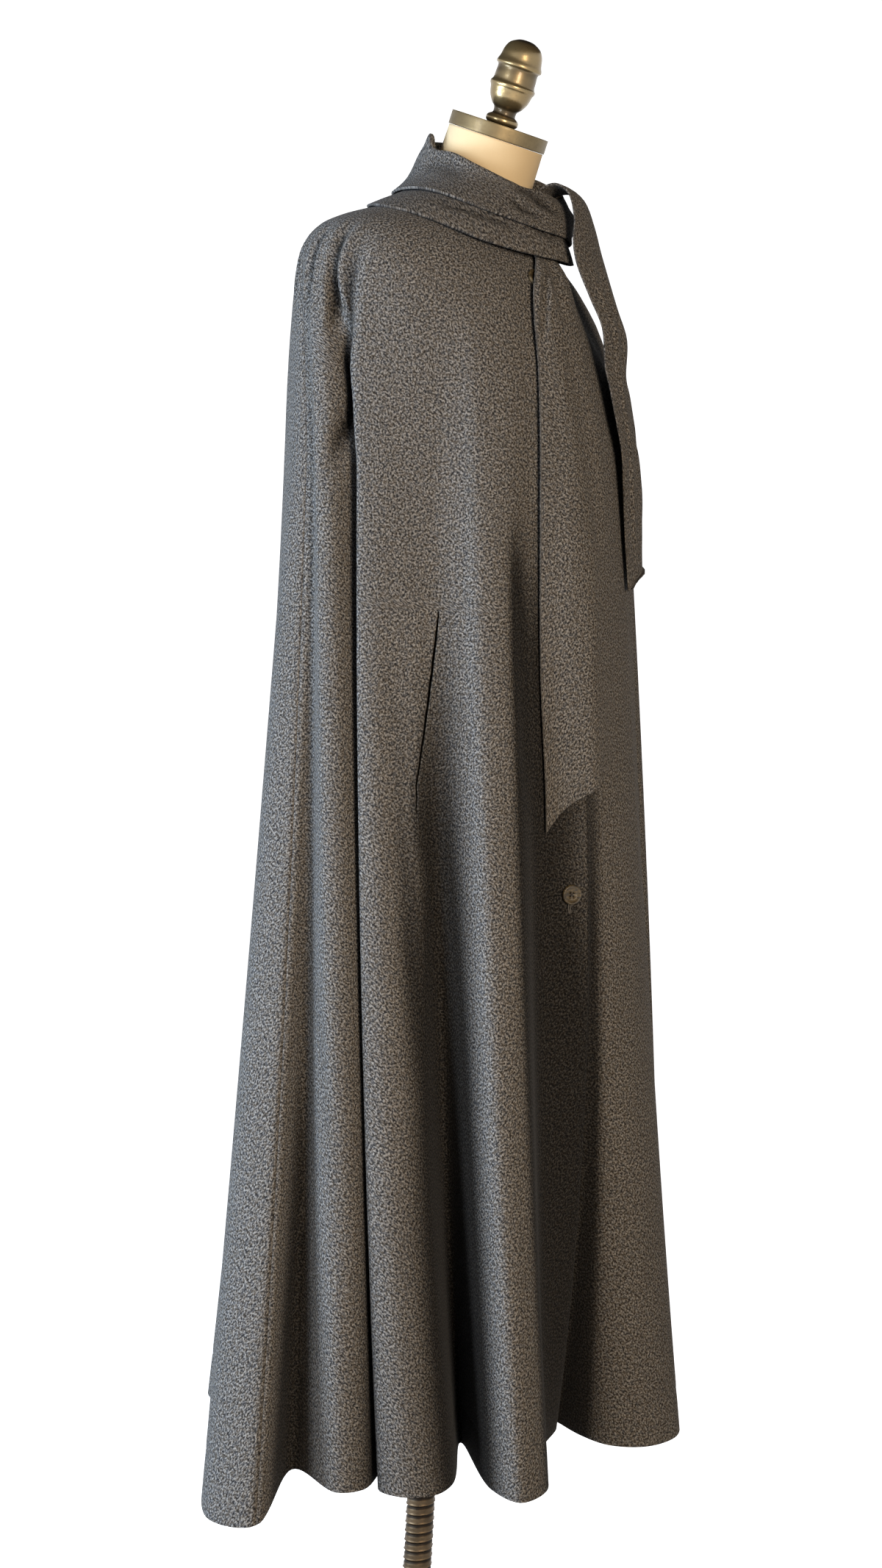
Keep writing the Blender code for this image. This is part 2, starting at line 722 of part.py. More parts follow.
def button(index, height, panel_tree, rings, starts, collection, horn):
    """A four-hole button that lies on the right front, near its free edge."""
    edge = starts["front_edge"]
    heights = rings[:, edge, 2][::-1]
    edge_point, inner_point = (
        Vector([np.interp(height, heights, rings[:, column, axis][::-1]) for axis in range(3)])
        for column in (edge, edge - 1)
    )
    centre = edge_point + (inner_point - edge_point).normalized() * BUTTON_FROM_EDGE
    level = Vector((centre.x, centre.y, 0.0)).normalized()
    hit, normal, _, _ = panel_tree.ray_cast(centre + level * WELL_OUTSIDE, -level)
    frame = normal.to_track_quat("Z", "Y").to_matrix()
    rises = [0.0]
    for step in range(BUTTON_STEPS):
        angle = math.tau * step / BUTTON_STEPS
        rim = hit + frame @ Vector((math.cos(angle), math.sin(angle), 0.0)) * BUTTON_RIM
        under = panel_tree.ray_cast(rim + normal * BUTTON_FROM_EDGE, -normal)[0]
        rises.append((under - hit).dot(normal))
    made = turned(f"button_{index}", BUTTON_PROFILE, BUTTON_STEPS, collection, horn)
    place = hit + normal * (max(rises) + TOUCH_GAP)
    made.matrix_world = Matrix.Translation(place) @ frame.to_4x4()
    return made


def drill_buttons(buttons, cutters):
    """Cuts the four thread holes through each button."""
    for made in buttons:
        shape = bmesh.new()
        for corner in range(BUTTON_HOLES):
            angle = math.tau * (corner + 0.5) / BUTTON_HOLES
            place = Vector((math.cos(angle), math.sin(angle), 0.0)) * BUTTON_HOLE_SPREAD / 2.0
            bmesh.ops.create_cone(
                shape, cap_ends=True, segments=HOLE_SEGMENTS, radius1=BUTTON_HOLE / 2.0,
                radius2=BUTTON_HOLE / 2.0, depth=4.0 * BUTTON_THICKNESS, matrix=Matrix.Translation(place),
            )
        mesh = bpy.data.meshes.new(f"{made.name}_holes")
        shape.to_mesh(mesh)
        shape.free()
        drill = new_object(mesh.name, mesh, cutters)
        drill.matrix_world = made.matrix_world
        drill.hide_render = True
        drill.display_type = "WIRE"
        holes = made.modifiers.new("holes", "BOOLEAN")
        holes.object = drill
        holes.operation = "DIFFERENCE"
        holes.solver = "EXACT"


# The form and its stand


def form_inset(column, edge, seam):
    """How far the form's shoulders lie inside the cape, more from where the fronts lap to the left seam."""
    lapped = edge - UNDERLAP_COLUMNS - LAP_MARGIN_COLUMNS <= column <= seam
    return CLOTH + 2.0 * TOUCH_GAP + (CLOTH + TOUCH_GAP if lapped else 0.0)


def form_rings(rings, starts):
    """The form from its neck to its foot, on columns of the cape so that the shoulders fit."""
    normals = ring_normals(rings)
    columns = list(range(0, rings.shape[1], FORM_COLUMN_STEP))
    found = []
    places = [rings[0, column] - np.array([0.0, SHOULDER_SECTIONS[0].centre, 0.0]) for column in columns]
    bearings = [math.degrees(math.atan2(-place[0], -place[1])) for place in places]
    for level in NECK_LEVELS:
        turn = Matrix.Rotation(NECK_TILT * level.tilt_share, 3, "X")
        angles = [math.radians(bearing) for bearing in bearings]
        found.append([
            Vector(level.centre)
            + turn @ Vector((-level.side * math.sin(angle), -level.front * math.cos(angle), 0.0))
            for angle in angles
        ])
    insets = [form_inset(column, starts["front_edge"], starts["side_seam_left"]) for column in columns]
    for row, section in enumerate(SHOULDER_SECTIONS):
        if section.height >= FORM_TOUCHES_DOWN_TO:
            found.append([
                Vector(rings[row, column] - normals[row, column] * inset)
                for column, inset in zip(columns, insets)
            ])
    for section in FORM_SECTIONS + (FORM_SECTIONS[-1]._replace(height=FORM_FOOT_Z),):
        found.append([section_point(section, bearing) for bearing in bearings])
    return np.array(found)


def dress_form(rings, starts, collection, linen):
    """The limbless body, closed with a flat foot and a flat neck."""
    grid = form_rings(rings, starts)
    rows, columns = grid.shape[:2]
    faces = grid_faces(rows, columns, closed=True)
    faces.append(tuple(range(columns)))
    faces.append(tuple((rows - 1) * columns + column for column in reversed(range(columns))))
    return new_object("form_torso", mesh_of("form_torso", grid.reshape(-1, 3), faces), collection, linen)


def neck_frame():
    """The place and tilt of the flat top of the form's neck."""
    return Matrix.Translation(NECK_TOP) @ Matrix.Rotation(NECK_TILT, 4, "X")


def neck_cap(collection, bronze):
    outer = NECK_RADIUS + CAP_OVERHANG
    profile = (
        (0.0, CAP_HEIGHT), (outer - CAP_BEVEL, CAP_HEIGHT), (outer, CAP_HEIGHT - CAP_BEVEL),
        (outer, CAP_BEVEL), (outer - CAP_BEVEL, 0.0), (0.0, 0.0),
    )
    cap = turned("neck_cap", profile, CAP_STEPS, collection, bronze)
    cap.matrix_world = neck_frame() @ Matrix.Translation((0.0, 0.0, TOUCH_GAP))
    return cap


def finial(collection, bronze):
    knob = turned("finial", FINIAL_PROFILE, FINIAL_STEPS, collection, bronze)
    knob.matrix_world = neck_frame() @ Matrix.Translation((0.0, 0.0, CAP_HEIGHT + 2.0 * TOUCH_GAP))
    return knob


def stem(collection, bronze):
    """The post, threaded where it shows below the hem: flat bands with a thin lip over a groove."""
    groove = STEM_RADIUS - THREAD_DEPTH
    land = STEM_RADIUS - THREAD_LIP
    profile = [(0.0, STEM_TOP_Z), (land, STEM_TOP_Z)]
    for turn in reversed(range(THREADS)):
        foot = THREAD_FOOT_Z + turn * THREAD_PITCH
        profile += [
            (land, foot + THREAD_LAND_FOOT),
            (STEM_RADIUS, foot + THREAD_LIP_HEIGHT),
            (groove, foot + THREAD_ROOT_HEIGHT),
        ]
    foot = BASE_SOCKET_FLOOR + TOUCH_GAP
    profile += [(land, THREAD_FOOT_Z), (land, foot), (0.0, foot)]
    return turned("stem", profile, STEM_STEPS, collection, bronze)


def base_plate(collection, iron):
    return turned("base_plate", BASE_PROFILE, BASE_STEPS, collection, iron)


# Materials


def material(name, colour, roughness, metallic=0.0):
    made = bpy.data.materials.new(name)
    made.use_nodes = True
    shader = made.node_tree.nodes["Principled BSDF"]
    shader.inputs["Base Color"].default_value = (*colour, 1.0)
    shader.inputs["Roughness"].default_value = roughness
    shader.inputs["Metallic"].default_value = metallic
    return made


def main():
    for item in list(bpy.data.objects):
        bpy.data.objects.remove(item)
    parts = bpy.data.collections.new(OBJECT_NAME)
    cutters = bpy.data.collections.new("cutters")
    for group in (parts, cutters):
        bpy.context.scene.collection.children.link(group)

    wool = material("charcoal_wool", (0.115, 0.105, 0.096), 0.95)
    linen = material("cream_linen", (0.83, 0.68, 0.44), 0.85)
    bronze = material("aged_bronze", (0.34, 0.25, 0.13), 0.40, 0.85)
    iron = material("dark_iron", (0.05, 0.045, 0.04), 0.55, 0.7)
    horn = material("brown_horn", (0.20, 0.135, 0.080), 0.35)

    rings, starts = cape_rings()
    back = back_panel(rings, starts, parts, wool)
    right = right_front(rings, starts, parts, wool)
    left = left_front(rings, starts, parts, wool)
    tree = surface_tree(back, right, left)
    right_tree = surface_tree(right)

    front_tail(tree, parts, wool)
    side_tail(tree, parts, wool)
    collar_band("collar_band_under", UNDER_BAND, False, parts, wool)
    collar_band("collar_band_over", OVER_BAND, True, parts, wool)
    buttons = [
        button(index + 1, height, right_tree, rings, starts, parts, horn)
        for index, height in enumerate(BUTTON_HEIGHTS)
    ]
    drill_buttons(buttons, cutters)
    cut_hand_slit(right, "hand_slit_right", 1, parts, cutters)
    cut_hand_slit(left, "hand_slit_left", -1, parts, cutters)

    dress_form(rings, starts, parts, linen)
    neck_cap(parts, bronze)
    finial(parts, bronze)

    raised = bpy.data.objects.new("form_raised", None)
    raised.location.z = FORM_RAISED
    parts.objects.link(raised)
    for item in list(parts.objects) + list(cutters.objects):
        if item is not raised:
            item.parent = raised
    stem(parts, bronze)
    base_plate(parts, iron)


main()
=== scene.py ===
"""The looks of a wool cape coat with a tie collar on its limbless dress form.

Metres, +Z up. The wearer faces -Y, so the wearer's right is at -X. A bearing is an angle in degrees about
the stand's axis, from the front through the wearer's right to the back; the left is negative. Heights of
the form and the coat are those of the form at its lowest setting, and Maker lifts what rides on the form.
"""

from __future__ import annotations

import logging
import math
from dataclasses import dataclass, field
from enum import Enum
from typing import NamedTuple, Sequence, Union

import bpy
import numpy as np
from bpy.types import Material, Node, NodeSocket, Object
from mathutils import Matrix, Vector
from mathutils.bvhtree import BVHTree

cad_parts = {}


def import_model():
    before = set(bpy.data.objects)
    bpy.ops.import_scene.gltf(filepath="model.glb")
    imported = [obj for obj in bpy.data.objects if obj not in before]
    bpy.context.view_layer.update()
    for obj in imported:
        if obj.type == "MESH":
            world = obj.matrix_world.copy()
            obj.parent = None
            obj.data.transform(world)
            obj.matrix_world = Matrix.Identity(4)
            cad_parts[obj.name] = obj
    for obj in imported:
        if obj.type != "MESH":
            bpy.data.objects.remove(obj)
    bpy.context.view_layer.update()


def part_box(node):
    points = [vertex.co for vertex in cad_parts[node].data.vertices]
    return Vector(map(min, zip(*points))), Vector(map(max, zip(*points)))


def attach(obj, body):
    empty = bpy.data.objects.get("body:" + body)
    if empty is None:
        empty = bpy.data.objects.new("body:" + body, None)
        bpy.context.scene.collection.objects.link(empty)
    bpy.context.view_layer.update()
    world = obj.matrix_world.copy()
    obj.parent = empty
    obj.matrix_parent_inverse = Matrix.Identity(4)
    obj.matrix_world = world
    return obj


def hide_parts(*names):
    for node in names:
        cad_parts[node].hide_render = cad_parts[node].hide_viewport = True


log = logging.getLogger("cape_coat")

Triple = tuple[float, float, float]
Pairs = tuple[tuple[float, float], ...]

FORM_RAISED = 0.08
CLOTH = 0.002
DOUBLED_CLOTH = 0.0026
GAP = 0.0005
FAR_OUT = 0.5
CHEST_Z = 1.24
KNEE_Z = 0.72
HEM_Z = 0.208
CREASE_REACH = 3.0
CREASE_END = 0.3
RIDGE_SHARE = 0.28
RIDGE_PLACE = 1.7


class Slot(Enum):
    """The record's material slots."""

    WOOL = "charcoal_wool"
    LINEN = "cream_linen"
    BRONZE = "aged_bronze"
    IRON = "dark_iron"
    HORN = "brown_horn"


class Section(NamedTuple):
    """A level cut of the shoulders and neck: half widths to the side, front and back about a centre."""

    height: float
    side: float
    front: float
    back: float
    centre: float


class Fold(NamedTuple):
    """A crest or hollow of the cape: its bearing and radius at the chest, the knee and the hem."""

    name: str
    chest: tuple[float, float]
    knee: tuple[float, float]
    hem: tuple[float, float]
    dip: float = 0.0


class Hollow(NamedTuple):
    """A place where a shoulder is drawn in: its bearing, its reach and its share at each height."""

    bearing: float
    reach: float
    shares: Pairs


class TailRow(NamedTuple):
    """One row across a tie end: the height and bearing of its two edges and its lift off the cape."""

    right_height: float
    right_bearing: float
    left_height: float
    left_bearing: float
    right_lift: float
    left_lift: float


class ArchRow(NamedTuple):
    """One row across the loop over the collar: height, radius, and the bearings of its two edges."""

    height: float
    radius: float
    right_bearing: float
    left_bearing: float


class Band(NamedTuple):
    """The collar at one bearing: heights of its edges on the neck and shoulders, and their lift."""

    bearing: float
    low_height: float
    low_lift: float
    high_height: float
    high_lift: float


class Crease(NamedTuple):
    """A soft trough, or a ridge where its depth is negative, along a path of surface places."""

    name: str
    path: Pairs
    width: float
    depth: float


# Curves and grids of points


def on_bearing(bearing: float, radius: float, height: float = 0.0) -> Vector:
    """Finds a point from its bearing and its radius from the stand's axis.

    Args:
        bearing: Degrees from the front through the wearer's right.
        radius: Distance from the axis.
        height: Height above the floor.

    Returns:
        The point.
    """
    angle = math.radians(bearing)
    return Vector((-radius * math.sin(angle), -radius * math.cos(angle), height))


def smoothstep(value: np.ndarray) -> np.ndarray:
    """Eases numbers from 0 to 1 and holds them outside that range."""
    held = np.clip(value, 0.0, 1.0)
    return held * held * (3.0 - 2.0 * held)


def through_rows(values: np.ndarray, places: np.ndarray) -> np.ndarray:
    """Reads an array's rows from the smooth curve through them.

    Args:
        values: Rows of numbers or points.
        places: Row numbers, which need not be whole.

    Returns:
        One row for each place.
    """
    last = len(values) - 1
    index = np.clip(places.astype(int), 0, last - 1)
    share = (places - index).reshape((-1,) + (1,) * (values.ndim - 1))
    before, start, end, after = (values[np.clip(index + step, 0, last)] for step in (-1, 0, 1, 2))
    return 0.5 * (
        2.0 * start
        + (end - before) * share
        + (2.0 * before - 5.0 * start + 4.0 * end - after) * share**2
        + (3.0 * start - before - 3.0 * end + after) * share**3
    )


def evenly(values: np.ndarray, count: int) -> np.ndarray:
    """Reads evenly spaced rows from the smooth curve through an array's rows."""
    return through_rows(values, np.linspace(0.0, len(values) - 1.0, count))


def finer(grid: np.ndarray, rows: int, columns: int) -> np.ndarray:
    """Splits a grid's rows and columns on smooth curves.

    Args:
        grid: Points in rows and columns.
        rows: Steps made of each row.
        columns: Steps made of each column.

    Returns:
        The finer grid.
    """
    turned = evenly(grid, (len(grid) - 1) * rows + 1).transpose(1, 0, 2)
    return evenly(turned, (len(turned) - 1) * columns + 1).transpose(1, 0, 2)


def grid_faces(rows: int, columns: int, closed: bool = True) -> list[tuple[int, ...]]:
    """Numbers the faces between a grid's points, row by row.

    Args:
        rows: Rows of points.
        columns: Points in each row.
        closed: Whether the last column meets the first.

    Returns:
        Four point numbers for each face.
    """
    spans = columns if closed else columns - 1
    round_face = ((0, 0), (1, 0), (1, 1), (0, 1))
    return [
        tuple((row + down) * columns + (column + across) % columns for down, across in round_face)
        for row in range(rows - 1)
        for column in range(spans)
    ]


def barrel_faces(rows: int, columns: int) -> list[tuple[int, ...]]:
    """Numbers the faces of a closed grid with a flat end at its first and at its last row.

    Args:
        rows: Rows of points.
        columns: Points in each row.

    Returns:
        The point numbers of each face.
    """
    last_row = range((rows - 1) * columns, rows * columns)
    return grid_faces(rows, columns) + [tuple(range(columns)), tuple(reversed(last_row))]


def grid_normals(grid: np.ndarray, closed: bool) -> np.ndarray:
    """Finds unit normals that face out where columns run from right to left.

    Args:
        grid: Points in rows and columns.
        closed: Whether the last column meets the first.

    Returns:
        A normal for each point.
    """
    if closed:
        around = np.roll(grid, -1, axis=1) - np.roll(grid, 1, axis=1)
    else:
        around = np.gradient(grid, axis=1)
    normals = np.cross(np.gradient(grid, axis=0), around)
    return normals / np.maximum(np.linalg.norm(normals, axis=2, keepdims=True), 1e-12)


def selvage(grid: np.ndarray, distances: Sequence[float], ends: Sequence[bool]) -> np.ndarray:
    """Adds rows of points close to a grid's first and last rows, so that its edges turn crisply.

    Args:
        grid: Points in rows and columns.
        distances: How far the new rows lie from the edge, nearest first.
        ends: Whether the first and the last row get them.

    Returns:
        The grid with its new rows.
    """
    for use, edge, inner, at in ((ends[0], 0, 1, 1), (ends[1], -1, -2, -1)):
        if not use:
            continue
        toward = grid[inner] - grid[edge]
        length = np.maximum(np.linalg.norm(toward[:, :3], axis=1, keepdims=True), 1e-9)
        added = [grid[edge] + toward * np.minimum(far / length, 0.7) for far in distances]
        if at < 0:
            added.reverse()
        grid = np.insert(grid, [at] * len(added), added, axis=0)
    return grid


def cut_places(grid: np.ndarray) -> np.ndarray:
    """Finds each point's place on the flat cloth: metres across from the middle column, and down.

    Args:
        grid: Points in rows and columns.

    Returns:
        Across, down and 0 for each point.
    """
    across = np.linalg.norm(np.diff(grid, axis=1, prepend=grid[:, :1]), axis=2).cumsum(axis=1)
    across -= across[:, [grid.shape[1] // 2]]
    down = np.linalg.norm(np.diff(grid, axis=0, prepend=grid[:1]), axis=2).mean(axis=1).cumsum()
    return np.stack([across, np.broadcast_to(down[:, None], across.shape), np.zeros_like(across)], axis=2)


def pressed(grid: np.ndarray, normals: np.ndarray, paths: Sequence[tuple[np.ndarray, Crease]]) -> np.ndarray:
    """Presses creases into a grid of points: a trough with a low shoulder at each side.

    Args:
        grid: Points in rows and columns.
        normals: Their normals.
        paths: Each crease with the points that it runs through.

    Returns:
        The moved points.
    """
    points = grid.reshape(-1, 3)
    moved = np.zeros(len(points))
    for line, crease in paths:
        reach = CREASE_REACH * crease.width
        low, high = line.min(axis=0) - reach, line.max(axis=0) + reach
        near = np.flatnonzero(((points > low) & (points < high)).all(axis=1))
        if not len(near):
            continue
        lengths = np.linalg.norm(np.diff(line, axis=0), axis=1)
        starts = np.concatenate([[0.0], lengths.cumsum()])
        best = np.full(len(near), np.inf)
        along = np.zeros(len(near))
        for index, length in enumerate(lengths):
            step = line[index + 1] - line[index]
            share = np.clip((points[near] - line[index]) @ step / max(length**2, 1e-12), 0.0, 1.0)
            far = np.linalg.norm(points[near] - line[index] - share[:, None] * step, axis=1)
            closer = far < best
            best = np.where(closer, far, best)
            along = np.where(closer, (starts[index] + share * length) / starts[-1], along)
        ends = smoothstep(along / CREASE_END) * smoothstep((1.0 - along) / CREASE_END)
        off = best / crease.width
        shape = np.exp(-(off**2)) - RIDGE_SHARE * np.exp(-((off - RIDGE_PLACE) ** 2) * 2.0)
        moved[near] -= crease.depth * shape * ends
    return grid + normals * moved.reshape(grid.shape[:2] + (1,))


@dataclass
class Maker:
    """Makes pieces of the part, on the form's height or on the floor, and says so in the log."""

    pieces: list[str] = field(default_factory=list)

    def mesh_piece(
        self,
        name: str,
        points: np.ndarray,
        faces: Sequence[Sequence[int]],
        finish: Material,
        slot: Slot,
        raised: bool = True,
        **layers: np.ndarray,
    ) -> Object:
        """Makes a smooth mesh that rides on the part.

        Args:
            name: The piece's name.
            points: Its points.
            faces: Its faces, as point numbers.
            finish: Its material.
            slot: The record's slot for that material.
            raised: Whether it sits on the form and so is lifted with it.
            **layers: Named numbers, or vectors, for each point.

        Returns:
            The piece.
        """
        mesh = bpy.data.meshes.new(name)
        placed = np.array(points, float).reshape(-1, 3) + np.array([0.0, 0.0, FORM_RAISED if raised else 0.0])
        mesh.from_pydata(placed.tolist(), [], [tuple(face) for face in faces])
        for layer, values in layers.items():
            values = np.asarray(values, np.float32)
            kind, key = ("FLOAT_VECTOR", "vector") if values.size == placed.size else ("FLOAT", "value")
            mesh.attributes.new(layer, kind, "POINT").data.foreach_set(key, values.reshape(-1))
        mesh.shade_smooth()
        return self.add(bpy.data.objects.new(name, mesh), finish, slot)

    def add(self, piece: Object, finish: Material, slot: Slot) -> Object:
        """Links a piece to the scene, gives it its finish and lets it ride on the part.

        Args:
            piece: The object.
            finish: Its material.
            slot: The record's slot for that material; not used.

        Returns:
            The piece.
        """
        bpy.context.scene.collection.objects.link(piece)
        piece.data.materials.append(finish)
        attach(piece, "root")
        self.pieces.append(piece.name)
        log.info("%s made", piece.name)
        return piece

    def cloth(
        self,
        name: str,
        grid: np.ndarray,
        finish: Material,
        thickness: float = CLOTH,
        closed: bool = False,
        left_out: Sequence[tuple[int, int]] = (),
        **layers: np.ndarray,
    ) -> Object:
        """Makes a wall of cloth inside a grid of points.

        Args:
            name: The piece's name.
            grid: The outer face, in rows and columns.
            finish: Its material.
            thickness: The wall's thickness.
            closed: Whether the last column meets the first.
            left_out: Rows and columns of the faces that an opening takes.
            **layers: Named numbers for each point.

        Returns:
            The piece.
        """
        rows, columns = grid.shape[:2]
        spans = columns if closed else columns - 1
        holes = {row * spans + column for row, column in left_out}
        faces = [face for index, face in enumerate(grid_faces(rows, columns, closed)) if index not in holes]
        piece = self.mesh_piece(name, grid, faces, finish, Slot.WOOL, cut=cut_places(grid), **layers)
        wall = piece.modifiers.new("wall", "SOLIDIFY")
        wall.thickness = thickness
        wall.offset = -1.0
        return piece

    def tube(
        self,
        name: str,
        lines: Sequence[Sequence[Vector]],
        radius: float,
        finish: Material,
        slot: Slot,
        closed: bool = False,
    ) -> Object:
        """Makes thread, cord or wire along lines of points.

        Args:
            name: The piece's name.
            lines: The points of each line.
            radius: Half its thickness.
            finish: Its material.
            slot: The record's slot for that material.
            closed: Whether each line meets its own start.

        Returns:
            The piece.
        """
        curve = bpy.data.curves.new(name, "CURVE")
        curve.dimensions = "3D"
        curve.bevel_depth = radius
        curve.bevel_resolution = 1
        curve.use_fill_caps = True
        for line in lines:
            spline = curve.splines.new("POLY")
            spline.points.add(len(line) - 1)
            for place, point in zip(spline.points, line):
                place.co = (point[0], point[1], point[2] + FORM_RAISED, 1.0)
            spline.use_cyclic_u = closed
            spline.use_smooth = True
        return self.add(bpy.data.objects.new(name, curve), finish, slot)


# Shading


Number = Union["Value", float]


class Value:
    """A number socket of a node tree, on which arithmetic adds Math nodes."""

    def __init__(self, shading: "Shading", socket: NodeSocket) -> None:
        """Keeps the socket and its tree."""
        self.shading = shading
        self.socket = socket

    def _math(self, operation: str, first: Number, second: Number = 0.0) -> "Value":
        """Adds a Math node on two numbers."""
        node = self.shading.node("ShaderNodeMath", {"operation": operation}, {0: first, 1: second})
        return Value(self.shading, node.outputs[0])

    def __add__(self, other: Number) -> "Value":
        """Adds."""
        return self._math("ADD", self, other)

    __radd__ = __add__

    def __sub__(self, other: Number) -> "Value":
        """Takes a number away."""
        return self._math("SUBTRACT", self, other)

    def __rsub__(self, other: Number) -> "Value":
        """Takes this value away from a number."""
        return self._math("SUBTRACT", other, self)

    def __mul__(self, other: Number) -> "Value":
        """Multiplies."""
        return self._math("MULTIPLY", self, other)

    __rmul__ = __mul__

    def between(self, low: float, high: float) -> "Value":
        """Eases the value to 0 at low and to 1 at high.

        Args:
            low: The value that becomes 0.
            high: The value that becomes 1.

        Returns:
            The eased value.
        """
        settings = {"interpolation_type": "SMOOTHSTEP"}
        node = self.shading.node("ShaderNodeMapRange", settings, {0: self, 1: low, 2: high, 3: 0.0, 4: 1.0})
        return Value(self.shading, node.outputs[0])


class Shading:
    """A material's node tree with short ways to add nodes."""

    def __init__(self, name: str, roughness: float, metallic: float = 0.0) -> None:
        """Starts a material with its Principled shader.

        Args:
            name: The material's name.
            roughness: The shader's roughness.
            metallic: The shader's metallic value.
        """
        self.material = bpy.data.materials.new(name)
        self.material.use_nodes = True
        self.tree = self.material.node_tree
        self.shader = self.tree.nodes["Principled BSDF"]
        self.set({"Roughness": roughness, "Metallic": metallic})

    def node(self, kind: str, settings: dict[str, object], values: dict[object, object]) -> Node:
        """Adds a node.

        Args:
            kind: Its type.
            settings: Properties that are set first.
            values: For each input, a number, a colour, a socket or a Value.

        Returns:
            The node.
        """
        node = self.tree.nodes.new(kind)
        for key, setting in settings.items():
            setattr(node, key, setting)
        for key, value in values.items():
            self.join(node.inputs[key], value)
        return node

    def join(self, entry: NodeSocket, value: object) -> None:
        """Links or sets one input.

        Args:
            entry: The input.
            value: A number, a colour, a socket or a Value.
        """
        if isinstance(value, Value):
            value = value.socket
        if isinstance(value, NodeSocket):
            self.tree.links.new(value, entry)
        else:
            entry.default_value = value

    def set(self, values: dict[str, object]) -> None:
        """Sets or links the shader's own inputs."""
        for key, value in values.items():
            self.join(self.shader.inputs[key], value)

    def layer(self, name: str) -> Node:
        """Reads a layer stored on the mesh's points."""
        return self.node("ShaderNodeAttribute", {"attribute_name": name}, {})

    def metres(self) -> NodeSocket:
        """Reads the place in the part, in metres."""
        return self.node("ShaderNodeTexCoord", {}, {}).outputs["Object"]

    def turned(self, vector: object, scale: Triple, turn: float = 0.0) -> object:
        """Turns places about their third axis, then scales them.

        Args:
            vector: The places' socket.
            scale: The scale along each turned axis.
            turn: Degrees.

        Returns:
            The moved places' socket.
        """
        values = {"Vector": vector, "Rotation": (0.0, 0.0, math.radians(turn))}
        rotated = self.node("ShaderNodeMapping", {}, values).outputs[0]
        return self.node("ShaderNodeMapping", {}, {"Vector": rotated, "Scale": scale}).outputs[0]

    def noise(self, vector: object, scale: float, detail: float = 2.0, roughness: float = 0.5) -> Value:
        """Adds a noise texture.

        Args:
            vector: The place that it reads.
            scale: Its scale.
            detail: Its levels of detail.
            roughness: How strong the finer levels are.

        Returns:
            The noise, about 0.5 on average.
        """
        values = {"Vector": vector, "Scale": scale, "Detail": detail, "Roughness": roughness}
        return Value(self, self.node("ShaderNodeTexNoise", {}, values).outputs["Fac"])

    def mixed(self, share: Number, first: object, second: object, blend: str = "MIX") -> object:
        """Mixes two colours.

        Args:
            share: How much of the second.
            first: A colour or its socket.
            second: A colour or its socket.
            blend: The kind of mix.

        Returns:
            The mixed colour's socket.
        """
        settings = {"data_type": "RGBA", "blend_type": blend}
        colours = [
            (*colour, 1.0) if isinstance(colour, tuple) and len(colour) == 3 else colour
            for colour in (first, second)
        ]
        values = {0: share, 6: colours[0], 7: colours[1]}
        return self.node("ShaderNodeMix", settings, values).outputs[2]

    def bump(self, height: Value, distance: float, strength: float = 1.0) -> object:
        """Adds a bump.

        Args:
            height: The relief, from 0 to 1.
            distance: How high 1 is, in metres.
            strength: How much of it shows.

        Returns:
            The normal's socket.
        """
        values = {"Height": height, "Distance": distance, "Strength": strength}
        return self.node("ShaderNodeBump", {}, values).outputs[0]


@dataclass(frozen=True)
class HeatherWool:
    """Brushed coating wool: charcoal, with pale and black fibres that lie on a steep slant, and painted shade
    that darkens it in folds and creases.
    """

    ground: Triple = (0.060, 0.056, 0.053)
    pale: Triple = (0.300, 0.290, 0.280)
    black: Triple = (0.012, 0.012, 0.013)
    warm: Triple = (0.105, 0.084, 0.062)
    cool: Triple = (0.062, 0.070, 0.086)
    # How far the painted shade in folds and creases darkens the colour.
    folded_shade: float = 0.80
    slant: float = 24.0
    fibre: Triple = (620.0, 430.0, 1.0)

    def material(self) -> Material:
        """Builds the cloth's material.

        Returns:
            The material.
        """
        made = Shading("heather_wool", 0.92)
        cut = made.layer("cut").outputs["Vector"]
        fibres = made.turned(cut, self.fibre, self.slant)
        other = made.turned(cut, (self.fibre[0] * 0.8, self.fibre[1] * 1.1, 1.0), self.slant - 62.0)
        first = made.noise(fibres, 1.0, 2.0, 0.5)
        second = made.noise(other, 1.0, 2.0, 0.5)
        clumps = made.noise(cut, 42.0, 3.0, 0.6)
        broad = made.noise(cut, 7.0, 2.0)
        tint = made.noise(cut, 230.0, 2.0)
        body = made.mixed(tint.between(0.40, 0.62), self.warm, self.cool)
        body = made.mixed(0.55, body, self.ground)
        flecked = made.mixed(first.between(0.46, 0.66) * 0.85, body, self.pale)
        flecked = made.mixed(second.between(0.52, 0.70) * 0.70, flecked, self.pale)
        flecked = made.mixed((1.0 - second).between(0.50, 0.64) * 0.88, flecked, self.black)
        # Painted shade: a layer on the points, from fold and crease depth, darkens the colour; clumps and
        # broad noise are the wool's own tone.
        nap = Value(made, made.layer("nap").outputs["Fac"])
        tone_and_painted_shade = (0.80 + clumps * 0.26 + broad * 0.14) * (1.0 - nap * self.folded_shade)
        shade = made.node("ShaderNodeCombineColor", {}, {0: tone_and_painted_shade, 1: tone_and_painted_shade, 2: tone_and_painted_shade}).outputs[0]
        made.set({
            "Base Color": made.mixed(1.0, flecked, shade, "MULTIPLY"),
            "Roughness": 0.98 - first.between(0.5, 0.8) * 0.16,
            "Normal": made.bump(first * 0.6 + second * 0.4 + clumps * 0.35, 0.0011, 0.85),
            "Sheen Weight": 0.05,
            "Sheen Roughness": 0.45,
            "Sheen Tint": (0.80, 0.84, 0.92, 1.0),
            "Specular IOR Level": 0.03,
        })
        return made.material


